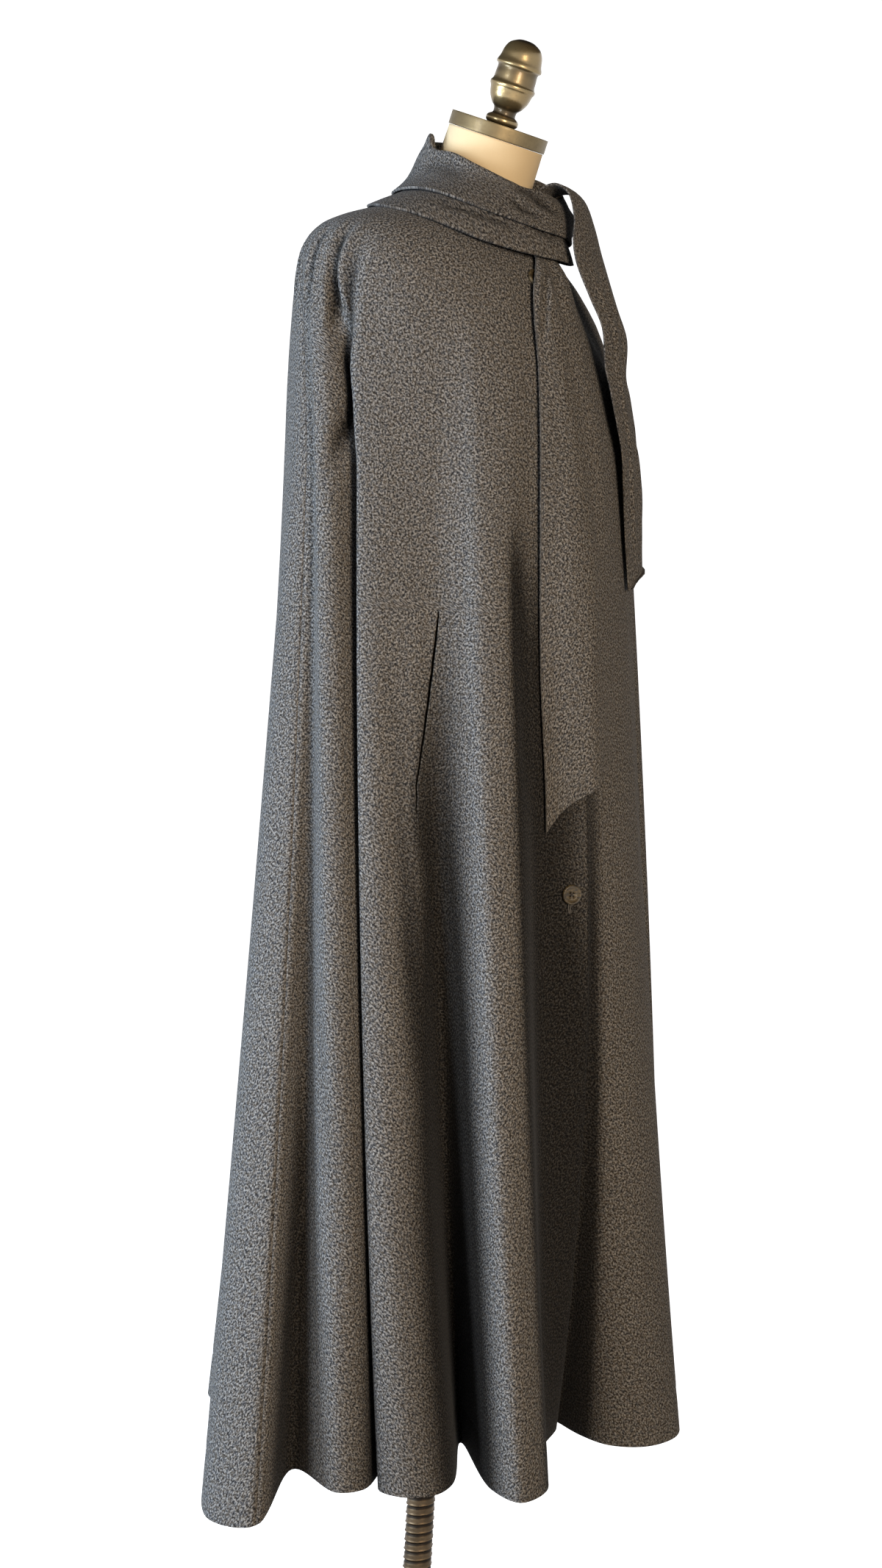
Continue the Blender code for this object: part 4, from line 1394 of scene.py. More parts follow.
        # Painted shade: the deeper the point lies in a fold, the darker its colour.
        nap = smoothstep((depths - self.shade_from) / self.shade_over)
        grid = np.concatenate([grid, nap[:, :, None]], axis=2)
        sideways = selvage(grid.transpose(1, 0, 2), self.selvage_steps, (True, True)).transpose(1, 0, 2)
        whole = selvage(sideways, self.selvage_steps, (False, True))
        moved = [(row, column + len(self.selvage_steps)) for row, column in left_out]
        points, nap = whole[:, :, :3], whole[:, :, 3]
        piece = maker.cloth(f"wool_{name}", points, finishes.wool, left_out=moved, nap=nap)
        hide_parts(name)

    def sew(self, maker: Maker, finishes: Finishes, name: str, stitches: list[list[Vector]]) -> None:
        """Makes a row of stitches as one piece."""
        maker.tube(name, stitches, 0.00035, finishes.dark_thread, Slot.WOOL)


# The collar and its ties


@dataclass
class Collar:
    """The two rounds of the collar about the neck."""

    surface: CapeSurface
    columns: int = 220
    rise_steps: int = 4
    swell: float = 0.0025
    rounding: float = 0.010
    # How strongly the creases' troughs darken the collar: painted shade.
    crease_shade: float = 260.0
    peak: Triple = (130.0, 13.0, 0.015)
    knot: Triple = (-36.0, 32.0, 0.008)
    left_span: Triple = (0.0, -150.0, 40.0)
    left_rise: float = 0.018
    left_draw: float = 0.009
    least_lift: float = 0.0033
    selvage_steps: tuple[float, ...] = (0.0007, 0.002)
    crease_steps: int = 14
    slopes: np.ndarray = field(init=False)
    shares: tuple[float, ...] = (0.0, 0.25, 0.5, 0.75, 0.95)
    roll: Pairs = ((0.0032, 0.0032), (0.0070, -0.0007), (0.0074, -0.0180))
    neck: tuple[Section, ...] = (
        Section(1.560, 0.0530, 0.0530, 0.0570, -0.004),
        Section(1.520, 0.0550, 0.0560, 0.0600, 0.008),
        Section(1.496, 0.0620, 0.0600, 0.0640, 0.017),
    )
    under: tuple[Band, ...] = (
        Band(0, 1.4040, 0.0165, 1.4500, 0.0205),
        Band(45, 1.4120, 0.0095, 1.4560, 0.0150),
        Band(75, 1.4410, 0.0041, 1.4740, 0.0080),
        Band(100, 1.4560, 0.0041, 1.4840, 0.0060),
        Band(140, 1.4640, 0.0033, 1.4900, 0.0050),
        Band(180, 1.4640, 0.0033, 1.4940, 0.0050),
    )
    over: tuple[Band, ...] = (
        Band(0, 1.4240, 0.0246, 1.4700, 0.0330),
        Band(45, 1.4380, 0.0194, 1.4960, 0.0238),
        Band(75, 1.4630, 0.0133, 1.5150, 0.0148),
        Band(100, 1.4720, 0.0115, 1.5220, 0.0120),
        Band(140, 1.4780, 0.0110, 1.5340, 0.0120),
        Band(180, 1.4780, 0.0110, 1.5480, 0.0120),
    )
    over_creases: tuple[Crease, ...] = (
        Crease("nape_fold", ((178, 0.62), (150, 0.70), (128, 0.86)), 0.007, 0.0024),
        Crease("tuck_right", ((34, 0.30), (24, 0.20), (14, 0.24)), 0.005, 0.0030),
        Crease("knot_pull", ((30, 0.80), (14, 0.62), (2, 0.50)), 0.007, 0.0026),
        Crease("knot_pull_low", ((20, 0.52), (8, 0.40), (-4, 0.38)), 0.006, 0.0024),
        Crease("left_pull", ((-20, 0.55), (-40, 0.62), (-60, 0.55)), 0.008, 0.0024),
        Crease("side_soft", ((110, 0.45), (80, 0.52), (56, 0.44)), 0.010, 0.0018),
        Crease("nape_fold_left", ((-178, 0.60), (-150, 0.68), (-126, 0.84)), 0.007, 0.0022),
    )
    under_creases: tuple[Crease, ...] = (
        Crease("under_soft", ((70, 0.42), (48, 0.50), (28, 0.40)), 0.006, 0.0022),
        Crease("under_pull", ((24, 0.60), (10, 0.46), (-2, 0.52)), 0.005, 0.0020),
        Crease("under_soft_left", ((-66, 0.42), (-44, 0.50), (-22, 0.42)), 0.006, 0.0022),
    )

    def __post_init__(self) -> None:
        """Rounds the slopes of the neck and shoulders."""
        rough = np.array(self.neck + self.surface.sections)[::-1]
        heights = np.linspace(rough[0, 0], rough[-1, 0], 400)
        straight = np.stack([np.interp(heights, rough[:, 0], part) for part in rough.T[1:]], axis=1)
        blur = np.exp(-(((heights[:, None] - heights[None]) / self.rounding) ** 2))
        blur /= blur.sum(axis=1, keepdims=True)
        self.slopes = np.column_stack([heights, blur @ straight])

    def build(self, maker: Maker, finishes: Finishes) -> None:
        """Builds both rounds.

        Args:
            maker: Makes the pieces.
            finishes: The part's materials.
        """
        rounds = (
            ("collar_band_under", self.under, False, self.under_creases, 0.0, 0.80, 0.046),
            ("collar_band_over", self.over, True, self.over_creases, 0.0004, 0.56, 0.078),
        )
        for name, bands, rolled, creases, proud, around, tall in rounds:
            grid = self.grid(bands, rolled, proud)
            face = len(self.shares) * self.rise_steps
            paths = [(self.laid(grid[-face:], crease), crease) for crease in creases]
            normals = grid_normals(grid, closed=True)
            creased = pressed(grid, normals, paths)
            # Painted shade: the creases' troughs darken the wool.
            troughs = np.clip(((grid - creased) * normals).sum(axis=2) * self.crease_shade, 0.0, 1.0)
            layered = np.concatenate([creased, troughs[:, :, None]], axis=2)
            whole = selvage(layered, self.selvage_steps, (True, True))
            grid, nap = whole[:, :, :3], whole[:, :, 3]
            piece = maker.cloth(f"wool_{name}", grid, finishes.wool, DOUBLED_CLOTH, closed=True, nap=nap)
            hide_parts(name)

    def ground(self, height: float, bearing: float, lift: float) -> Vector:
        """Finds a point over the neck and shoulders.

        Args:
            height: Height on the neck and shoulders.
            bearing: Bearing about the section's centre.
            lift: How far it stands off along the normal.

        Returns:
            The point.
        """
        sections = self.slopes

        def place(at: float, toward: float) -> Vector:
            """Finds the ground's own point."""
            row = [at] + [np.interp(at, sections[:, 0], part) for part in sections.T[1:]]
            return Vector((*self.surface.section_plan(np.array([row]), toward)[0], at))

        step = 0.010
        here = place(height, bearing)
        down = place(height - step, bearing) - place(height + step, bearing)
        normal = down.cross(place(height, bearing - 1.0) - here).normalized()
        return here + normal * lift

    def band_at(self, bands: tuple[Band, ...], bearing: float) -> np.ndarray:
        """Reads the collar's edges at any bearing, on a smooth curve.

        Args:
            bands: The named bearings, from the front to the back.
            bearing: The bearing wanted.

        Returns:
            Low height and lift, high height and lift.
        """
        table = np.array(bands)
        mirrored = table[1][None] * np.array([[-1, 1, 1, 1, 1]])
        beyond = table[-2][None] * np.array([[-1, 1, 1, 1, 1]]) + np.array([[360, 0, 0, 0, 0]])
        rows = np.concatenate([mirrored, table, beyond])
        turn = abs(bearing)
        index = int(np.clip(np.searchsorted(rows[:, 0], turn) - 1, 1, len(rows) - 3))
        width = rows[index + 1, 0] - rows[index, 0]
        share = (turn - rows[index, 0]) / width
        slopes = [
            (rows[at + 1, 1:] - rows[at - 1, 1:]) / (rows[at + 1, 0] - rows[at - 1, 0]) * width
            for at in (index, index + 1)
        ]
        start, end = rows[index, 1:], rows[index + 1, 1:]
        return (
            start * (2 * share**3 - 3 * share**2 + 1)
            + slopes[0] * (share**3 - 2 * share**2 + share)
            + end * (3 * share**2 - 2 * share**3)
            + slopes[1] * (share**3 - share**2)
        )

    def grid(self, bands: tuple[Band, ...], rolled: bool, proud: float) -> np.ndarray:
        """Builds one round, from its top edge down.

        Args:
            bands: Its edges at the named bearings.
            rolled: Whether it turns over at the top and down inside.
            proud: How far it stands proud of its solid.

        Returns:
            Points in rows and columns.
        """
        columns = []
        for step in range(self.columns):
            bearing = 180.0 - 360.0 * step / self.columns
            low, low_lift, high, high_lift = self.band_at(bands, bearing)
            knot = 0.0
            if rolled:
                high += self.peak[2] * math.exp(-(((bearing - self.peak[0]) / self.peak[1]) ** 2))
                knot = self.knot[2] * math.exp(-(((bearing - self.knot[0]) / self.knot[1]) ** 2))
            else:
                begin, end, ease = self.left_span
                left = float(np.prod(smoothstep(np.array([begin - bearing, bearing - end]) / ease)))
                low += self.left_rise * left
                low_lift -= min(self.left_draw, low_lift - self.least_lift) * left
            column = []
            for share in self.shares:
                lift = low_lift + (high_lift - low_lift) * share
                lift += (self.swell + knot) * math.sin(math.pi * share)
                column.append(self.ground(low + (high - low) * share, bearing, lift + proud))
            if rolled:
                crest = column[-1]
                inward = Vector((-crest.x, -0.003 - crest.y, 0.0)).normalized()
                column += [crest + inward * within + Vector((0.0, 0.0, up)) for within, up in self.roll]
            columns.append([tuple(point) for point in column[::-1]])
        coarse = np.array(columns).transpose(1, 0, 2)
        return evenly(coarse, (len(coarse) - 1) * self.rise_steps + 1)

    def laid(self, face: np.ndarray, crease: Crease) -> np.ndarray:
        """Lays a crease on the outer face.

        Args:
            face: The outer face, from its top row down.
            crease: A crease whose places are a bearing and a share of the way up.

        Returns:
            The points that it runs through.
        """
        places = evenly(np.array(crease.path, float), self.crease_steps)
        line = []
        for bearing, share in places:
            column = int(round((180.0 - bearing) / 360.0 * self.columns)) % self.columns
            row = int(round((1.0 - share) * (len(face) - 1)))
            line.append(face[row, column])
        return np.array(line)


@dataclass
class TieEnds:
    """The two ends of the tie: doubled cloth with turned edges and slanted tips."""

    surface: CapeSurface
    columns: int = 7
    crown: float = 0.005
    slant: float = 0.74
    across_steps: int = 5
    down_steps: int = 5
    edge_steps: int = 4
    crease_steps: int = 16
    selvage_steps: tuple[float, ...] = (0.0006, 0.0016)
    front: tuple[TailRow, ...] = (
        TailRow(1.428, 18.0, 1.428, 2.0, 0.0045, 0.0045),
        TailRow(1.400, 26.0, 1.402, -1.0, 0.0090, 0.0070),
        TailRow(1.360, 30.0, 1.362, 1.0, 0.0092, 0.0090),
        TailRow(1.300, 27.0, 1.303, -3.0, 0.0070, 0.0080),
        TailRow(1.240, 26.4, 1.245, -12.0, 0.0086, 0.0070),
        TailRow(1.130, 26.5, 1.140, -11.5, 0.0084, 0.0060),
        TailRow(1.010, 25.7, 1.040, -8.5, 0.0060, 0.0060),
        TailRow(0.920, 24.0, 0.975, -6.5, 0.0060, 0.0060),
        TailRow(0.838, 22.0, 0.912, -5.5, 0.0060, 0.0060),
    )
    side: tuple[TailRow, ...] = (
        TailRow(1.310, -8.0, 1.310, -47.0, 0.0220, 0.0165),
        TailRow(1.240, -15.5, 1.240, -54.0, 0.0180, 0.0050),
        TailRow(1.160, -20.0, 1.165, -55.0, 0.0100, 0.0036),
        TailRow(1.095, -22.5, 1.120, -55.0, 0.0080, 0.0031),
        TailRow(1.085, -23.0, 1.125, -55.0, 0.0080, 0.0031),
    )
    arch: tuple[ArchRow, ...] = (
        ArchRow(1.468, 0.0535, 0.0, -40.0),
        ArchRow(1.479, 0.0535, -1.0, -40.0),
        ArchRow(1.491, 0.0630, -2.0, -38.0),
        ArchRow(1.496, 0.0815, -3.0, -36.0),
        ArchRow(1.485, 0.0995, -4.0, -34.0),
        ArchRow(1.459, 0.1110, -2.0, -32.0),
        ArchRow(1.434, 0.1190, 3.0, -31.0),
        ArchRow(1.408, 0.1280, 4.0, -33.0),
        ArchRow(1.375, 0.1400, 0.0, -37.0),
        ArchRow(1.345, 0.1510, -3.5, -41.0),
    )
    front_creases: tuple[Crease, ...] = (
        Crease("folded_strip", ((0.16, 0.04), (0.20, 0.16), (0.10, 0.34)), 0.0035, 0.0050),
        Crease("deep_gather", ((0.36, 0.02), (0.44, 0.14), (0.62, 0.30)), 0.0075, 0.0045),
        Crease("left_gather", ((0.78, 0.02), (0.84, 0.12), (0.86, 0.22)), 0.006, 0.0026),
        Crease("long_soft", ((0.60, 0.24), (0.56, 0.46), (0.62, 0.66)), 0.012, 0.0026),
    )
    side_creases: tuple[Crease, ...] = (
        Crease("turned_edge", ((0.22, 0.30), (0.20, 0.50), (0.18, 0.72), (0.18, 0.96)), 0.0032, 0.0042),
        Crease("arch_inner", ((0.50, 0.30), (0.48, 0.44), (0.40, 0.58)), 0.007, 0.0030),
        Crease("side_long", ((0.55, 0.55), (0.62, 0.72), (0.55, 0.88)), 0.010, 0.0024),
    )

    def build(self, maker: Maker, finishes: Finishes) -> None:
        """Builds both ends.

        Args:
            maker: Makes the pieces.
            finishes: The part's materials.
        """
        front = self.over_cape(self.front, 15)
        arch = []
        for row in self.arch:
            bearings = np.linspace(row.right_bearing, row.left_bearing, self.columns)
            arch.append([tuple(on_bearing(bearing, row.radius, row.height)) for bearing in bearings])
        side = np.concatenate([np.array(arch), self.over_cape(self.side, 11)])
        ends = (
            ("tie_end_front", front, self.front_creases, (0.115, 0.60), ["collar_band_under"]),
            ("tie_end_side", side, self.side_creases, (0.085, 0.52), ["collar_band_over"]),
        )
        for name, coarse, creases, flat, rests_on in ends:
            grid = finer(coarse, self.down_steps, self.across_steps)
            paths = [(self.laid(grid, crease), crease) for crease in creases]
            grid = pressed(grid, grid_normals(grid, closed=False), paths)
            piece = self.doubled(maker, f"wool_{name}", grid, finishes.wool)
            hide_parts(name)

    def over_cape(self, table: tuple[TailRow, ...], count: int) -> np.ndarray:
        """Lays a tie end over the cape, crowned between its edges.

        Args:
            table: Its rows.
            count: How many rows to make.

        Returns:
            Points in rows and columns.
        """
        rows = []
        for row in evenly(np.array(table), count):
            cells = []
            for share in np.linspace(0.0, 1.0, self.columns):
                height = row[0] + (row[2] - row[0]) * share**self.slant
                bearing = row[1] + (row[3] - row[1]) * share
                lift = row[4] + (row[5] - row[4]) * share + self.crown * math.sin(math.pi * share)
                cells.append(tuple(self.surface.off(height, bearing, lift)))
            rows.append(cells)
        return np.array(rows)

    def laid(self, grid: np.ndarray, crease: Crease) -> np.ndarray:
        """Lays a crease on a tie end.

        Args:
            grid: The tie end, in rows and columns.
            crease: A crease whose places are the shares across and down.

        Returns:
            The points that it runs through.
        """
        places = evenly(np.array(crease.path, float), self.crease_steps)
        steps = np.round(places[:, ::-1] * (np.array(grid.shape[:2]) - 1)).astype(int)
        return grid[steps[:, 0], steps[:, 1]]

    def doubled(self, maker: Maker, name: str, grid: np.ndarray, finish: Material) -> Object:
        """Makes doubled cloth: two faces joined by round folds at both edges and at both ends.

        Args:
            maker: Makes the piece.
            name: Its name.
            grid: Its outer face.
            finish: Its material.

        Returns:
            The piece.
        """
        normals = grid_normals(grid, closed=False)
        middle = grid - normals * DOUBLED_CLOTH / 2.0
        sides = []
        for column, inner in ((-1, -2), (0, 1)):
            outward = middle[:, column] - middle[:, inner]
            outward /= np.linalg.norm(outward, axis=1, keepdims=True)
            turn = []
            for step in range(1, self.edge_steps):
                angle = math.pi * step / self.edge_steps
                lean = math.cos(angle) * (1.0 if column == -1 else -1.0)
                offset = normals[:, column] * lean + outward * math.sin(angle)
                turn.append(middle[:, column] + offset * DOUBLED_CLOTH / 2.0)
            sides.append(np.array(turn).transpose(1, 0, 2))
        inner_face = (grid - normals * DOUBLED_CLOTH)[:, ::-1]
        tube = np.concatenate([grid, sides[0], inner_face, sides[1]], axis=1)
        tube = selvage(tube, self.selvage_steps, (True, True))
        rows, columns = tube.shape[:2]
        faces = grid_faces(rows, columns)
        width = grid.shape[1]
        inner = width + self.edge_steps - 1
        for first, flip in ((0, True), ((rows - 1) * columns, False)):
            ring = list(range(first, first + columns))
            outer, back = ring[:width], ring[inner:inner + width][::-1]
            turns = (ring[width:inner], ring[inner + width:])
            caps = [(outer[i], outer[i + 1], back[i + 1], back[i]) for i in range(width - 1)]
            caps += [(outer[-1], *turns[0], back[-1]), (back[0], *turns[1], outer[0])]
            faces += [face[::-1] if flip else face for face in caps]
        return maker.mesh_piece(name, tube, faces, finish, Slot.WOOL, cut=cut_places(tube))


@dataclass
class Buttons:
    """The four-hole buttons, their crossed thread and the worked buttonholes under them."""

    surface: CapeSurface
    heights: tuple[float, ...] = (1.388, 1.184, 0.981, 0.777)
    half_height: float = 0.0021
    steps: int = 56
    hole: float = 0.0019
    hole_spread: float = 0.0040
    thread_radius: float = 0.00042
    thread_foot: float = 0.0012
    thread_rim: float = 0.0024
    thread_over: float = 0.0030
    slot_length: float = 0.024
    slot_half: float = 0.0011
    slot_drop: float = 0.0065
    slot_radius: float = 0.00065
    slot_steps: int = 28
    profile: Pairs = (
        (0.0, 0.0026), (0.0058, 0.0026), (0.0072, 0.0034), (0.0084, 0.0042),
        (0.0095, 0.0036), (0.0100, 0.0022), (0.0092, 0.0006), (0.0070, 0.0),
        (0.0, 0.0),
    )

    def build(self, maker: Maker, finishes: Finishes) -> None:
        """Builds the buttons, threads and buttonholes where the solids' buttons lie.

        Args:
            maker: Makes the pieces.
            finishes: The part's materials.
        """
        for index, height in enumerate(self.heights):
            node = f"button_{index + 1}"
            low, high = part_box(node)
            middle = (low + high) / 2.0 - Vector((0.0, 0.0, FORM_RAISED))
            bearing = math.degrees(math.atan2(-middle.x, -middle.y))
            _, normal = self.surface.hit(height, bearing)
            frame = normal.to_track_quat("Z", "Y").to_matrix()
            foot = middle - normal * self.half_height
            place = Matrix.Translation(foot) @ frame.to_4x4()
            profile = np.array(self.profile)
            piece = turned_piece(
                maker, f"horn_{node}", profile, self.steps, finishes.horn, Slot.HORN, place, 5, True
            )
            self.drill(piece, foot, frame)
            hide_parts(node)
            cross = [self.cross_thread(foot, frame, turn) for turn in (0, 1)]
            thread, radius = finishes.dark_thread, self.thread_radius
            maker.tube(f"button_thread_{index + 1}", cross, radius, thread, Slot.WOOL)
            slot, radius = [self.slot(height, bearing)], self.slot_radius
            maker.tube(f"buttonhole_{index + 1}", slot, radius, finishes.grey_thread, Slot.WOOL, closed=True)

    def drill(self, piece: Object, foot: Vector, frame: Matrix) -> None:
        """Cuts the thread holes through a button.

        Args:
            piece: The button.
            foot: The middle of its back.
            frame: Its turn.
        """
        for corner in range(4):
            angle = math.tau * (corner + 0.5) / 4
            place = foot + frame @ Vector((math.cos(angle), math.sin(angle), 0.0)) * self.hole_spread / 2.0
            bpy.ops.mesh.primitive_cylinder_add(vertices=20, radius=self.hole / 2.0, depth=0.02)
            drill = bpy.context.object
            drill.matrix_world = Matrix.Translation(place + Vector((0.0, 0.0, FORM_RAISED))) @ frame.to_4x4()
            bpy.context.view_layer.update()
            cut = piece.modifiers.new("hole", "BOOLEAN")
            cut.object = drill
            cut.solver = "EXACT"
            bpy.context.view_layer.objects.active = piece
            bpy.ops.object.modifier_apply(modifier=cut.name)
            bpy.data.objects.remove(drill)

    def cross_thread(self, foot: Vector, frame: Matrix, turn: int) -> list[Vector]:
        """Runs a thread down one hole, over the button and down the opposite hole.

        Args:
            foot: The middle of the button's back.
            frame: Its turn.
            turn: 0 or 1 for the two diagonals.

        Returns:
            The thread's points.
        """
        angle = math.tau * (turn + 0.5) / 4
        across = Vector((math.cos(angle), math.sin(angle), 0.0)) * self.hole_spread / 2.0
        over = self.thread_over + 0.0004 * turn
        half = [(0.82, over), (0.98, self.thread_rim), (1.0, self.thread_foot)]
        path = [(-share, high) for share, high in reversed(half)] + [(0.0, over + 0.0002)] + half
        return [foot + frame @ (across * share + Vector((0.0, 0.0, high))) for share, high in path]

    def slot(self, height: float, bearing: float) -> list[Vector]:
        """Runs the buttonhole's worked edge round its slot, most of it below the button.

        Args:
            height: The button's height.
            bearing: The button's bearing.

        Returns:
            The edge's points.
        """
        found = []
        reach = self.surface.hit(height, bearing)[0].to_2d().length
        for step in range(self.slot_steps):
            angle = math.tau * step / self.slot_steps
            across = self.slot_half * math.cos(angle)
            squared = math.copysign(abs(math.sin(angle)) ** 0.6, math.sin(angle))
            up = self.slot_length / 2.0 * squared - self.slot_drop
            place, normal = self.surface.hit(height + up, bearing + math.degrees(across / reach))
            found.append(place + normal * 0.0004)
        return found


# The form and its stand


def turned_piece(
    maker: Maker,
    name: str,
    profile: np.ndarray,
    steps: int,
    finish: Material,
    slot: Slot,
    place: Matrix,
    smooth: int,
    raised: bool,
) -> Object:
    """Turns a profile about its own Z axis, with ridges marked as worn.

    Args:
        maker: Makes the piece.
        name: Its name.
        profile: Radius and height of each point, down the outer side from the axis back to the axis.
        steps: Points round it.
        finish: Its material.
        slot: The record's slot for that material.
        place: Where it stands.
        smooth: Points made of each span of the profile.
        raised: Whether it sits on the form.

    Returns:
        The piece.
    """
    fine = evenly(profile[1:-1], (len(profile) - 3) * smooth + 1)
    fine[:, 0] = np.maximum(fine[:, 0], 1e-4)
    near = 2 * smooth
    broad = np.array([fine[max(i - near, 0):i + near + 1, 0].mean() for i in range(len(fine))])
    worn = np.clip(0.55 + (fine[:, 0] - broad) * 260.0, 0.0, 1.0)
    angles = np.arange(steps) * math.tau / steps
    grid = np.stack([
        np.outer(fine[:, 0], np.cos(angles)),
        np.outer(fine[:, 0], np.sin(angles)),
        np.broadcast_to(fine[:, 1:2], (len(fine), steps)),
    ], axis=2)
    points = [place @ Vector(point) for point in grid.reshape(-1, 3)]
    points += [place @ Vector((0.0, 0.0, profile[0, 1])), place @ Vector((0.0, 0.0, profile[-1, 1]))]
    top, foot, rows = len(points) - 2, len(points) - 1, len(fine)
    faces = grid_faces(rows, steps)
    faces += [(top, s, (s + 1) % steps) for s in range(steps)]
    faces += [(foot, (rows - 1) * steps + (s + 1) % steps, (rows - 1) * steps + s) for s in range(steps)]
    layer = np.concatenate([np.repeat(worn, steps), worn[[0, -1]]])
    placed = np.array([tuple(point) for point in points])
    return maker.mesh_piece(name, placed, faces, finish, slot, raised, worn=layer)


@dataclass
class DressForm:
    """The limbless body, its neck cap and finial."""

    surface: CapeSurface
    neck_top: Triple = (0.0, -0.003, 1.548)
    neck_radius: float = 0.0512
    neck_tilt: float = math.radians(20.0)
    foot_z: float = 0.7405
    cap_height: float = 0.014
    cap_overhang: float = 0.0012
    cap_softness: float = 0.0009
    foot_softness: float = 0.006
    row_steps: int = 5
    shoulder_inset: float = 0.0062
    columns: int = 120
    neck_levels: tuple[tuple[Triple, float, float, float], ...] = (
        ((0.0, -0.003, 1.548), 0.0512, 0.0512, 1.0),
        ((0.0, 0.003, 1.532), 0.0515, 0.0518, 0.98),
        ((0.0, 0.009, 1.516), 0.0520, 0.0525, 0.95),
        ((0.0, 0.0175, 1.493), 0.0560, 0.0545, 0.7),
    )
    body: tuple[Section, ...] = (
        Section(1.400, 0.190, 0.098, 0.104, 0.016),
        Section(1.350, 0.178, 0.108, 0.108, 0.010),
        Section(1.270, 0.160, 0.118, 0.108, 0.004),
        Section(1.170, 0.140, 0.108, 0.100, 0.0),
        Section(1.070, 0.128, 0.094, 0.094, 0.0),
        Section(0.960, 0.146, 0.104, 0.112, 0.0),
        Section(0.860, 0.164, 0.114, 0.122, 0.0),
        Section(0.760, 0.160, 0.112, 0.118, 0.0),
    )
    finial: Pairs = (
        (0.0, 0.0870), (0.0040, 0.0869), (0.0090, 0.0858), (0.0165, 0.0815),
        (0.0205, 0.0745), (0.0222, 0.0665), (0.0240, 0.0620), (0.0240, 0.0595),
        (0.0215, 0.0570), (0.0218, 0.0500), (0.0222, 0.0435), (0.0240, 0.0405),
        (0.0240, 0.0380), (0.0225, 0.0350), (0.0205, 0.0270), (0.0160, 0.0195),
        (0.0125, 0.0160), (0.0122, 0.0105), (0.0150, 0.0085), (0.0172, 0.0060),
        (0.0172, 0.0025), (0.0150, 0.0), (0.0, 0.0),
    )

    def build(self, maker: Maker, finishes: Finishes) -> None:
        """Builds the body, the cap and the finial.

        Args:
            maker: Makes the pieces.
            finishes: The part's materials.
        """
        grid = self.rings()
        faces = barrel_faces(*grid.shape[:2])
        body = maker.mesh_piece("linen_form", grid, faces, finishes.linen, Slot.LINEN, cut=cut_places(grid))
        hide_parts("form_torso")

        seat = Matrix.Translation(self.neck_top) @ Matrix.Rotation(self.neck_tilt, 4, "X")
        outer, soft, tall = self.neck_radius + self.cap_overhang, self.cap_softness, self.cap_height
        profile = np.array([
            (0.0, tall), (outer * 0.6, tall), (outer - soft, tall), (outer - soft * 0.3, tall - soft * 0.3),
            (outer, tall - soft), (outer, tall * 0.6), (outer, tall * 0.4), (outer, soft),
            (outer - soft * 0.3, soft * 0.3), (outer - soft, 0.0), (outer * 0.6, 0.0), (0.0, 0.0),
        ])
        place = seat @ Matrix.Translation((0.0, 0.0, GAP))
        cap = turned_piece(maker, "bronze_cap", profile, 128, finishes.bronze, Slot.BRONZE, place, 2, True)
        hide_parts("neck_cap")
        place = seat @ Matrix.Translation((0.0, 0.0, tall + 2.0 * GAP))
        knob = turned_piece(
            maker, "brass_finial", np.array(self.finial), 72, finishes.brass, Slot.BRONZE, place, 4, True
        )
        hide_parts("finial")

    def rings(self) -> np.ndarray:
        """Finds the body's rings, from the flat neck to the flat foot.

        Returns:
            Points in rows and columns.
        """
        bearings = [180.0 - 360.0 * step / self.columns for step in range(self.columns)]
        controls = []
        for centre, side, front, share in self.neck_levels:
            turn = Matrix.Rotation(self.neck_tilt * share, 3, "X")
            stretch = Matrix.Diagonal((side, front, 1.0))
            controls.append([
                tuple(Vector(centre) + turn @ stretch @ on_bearing(bearing, 1.0)) for bearing in bearings
            ])
        cloth = self.around(self.surface.sections[:5], bearings)
        inside = cloth - grid_normals(cloth, closed=True) * self.shoulder_inset
        foot = self.body[-1]._replace(height=self.foot_z)
        above_foot = foot._replace(height=self.foot_z + self.foot_softness)
        lower = self.around((*self.body, above_foot, foot), bearings)
        controls = np.concatenate([np.array(controls), inside[:4], lower])
        return evenly(controls, (len(controls) - 1) * self.row_steps + 1)

    def around(self, sections: Sequence[Section], bearings: Sequence[float]) -> np.ndarray:
        """Finds the points of level sections at some bearings.

        Args:
            sections: The sections, from the top down.
            bearings: Bearings about their centres.

        Returns:
            Points in rows and columns.
        """
        rows = np.array(sections)
        columns = [np.column_stack([self.surface.section_plan(rows, turn), rows[:, 0]]) for turn in bearings]
        return np.array(columns).transpose(1, 0, 2)


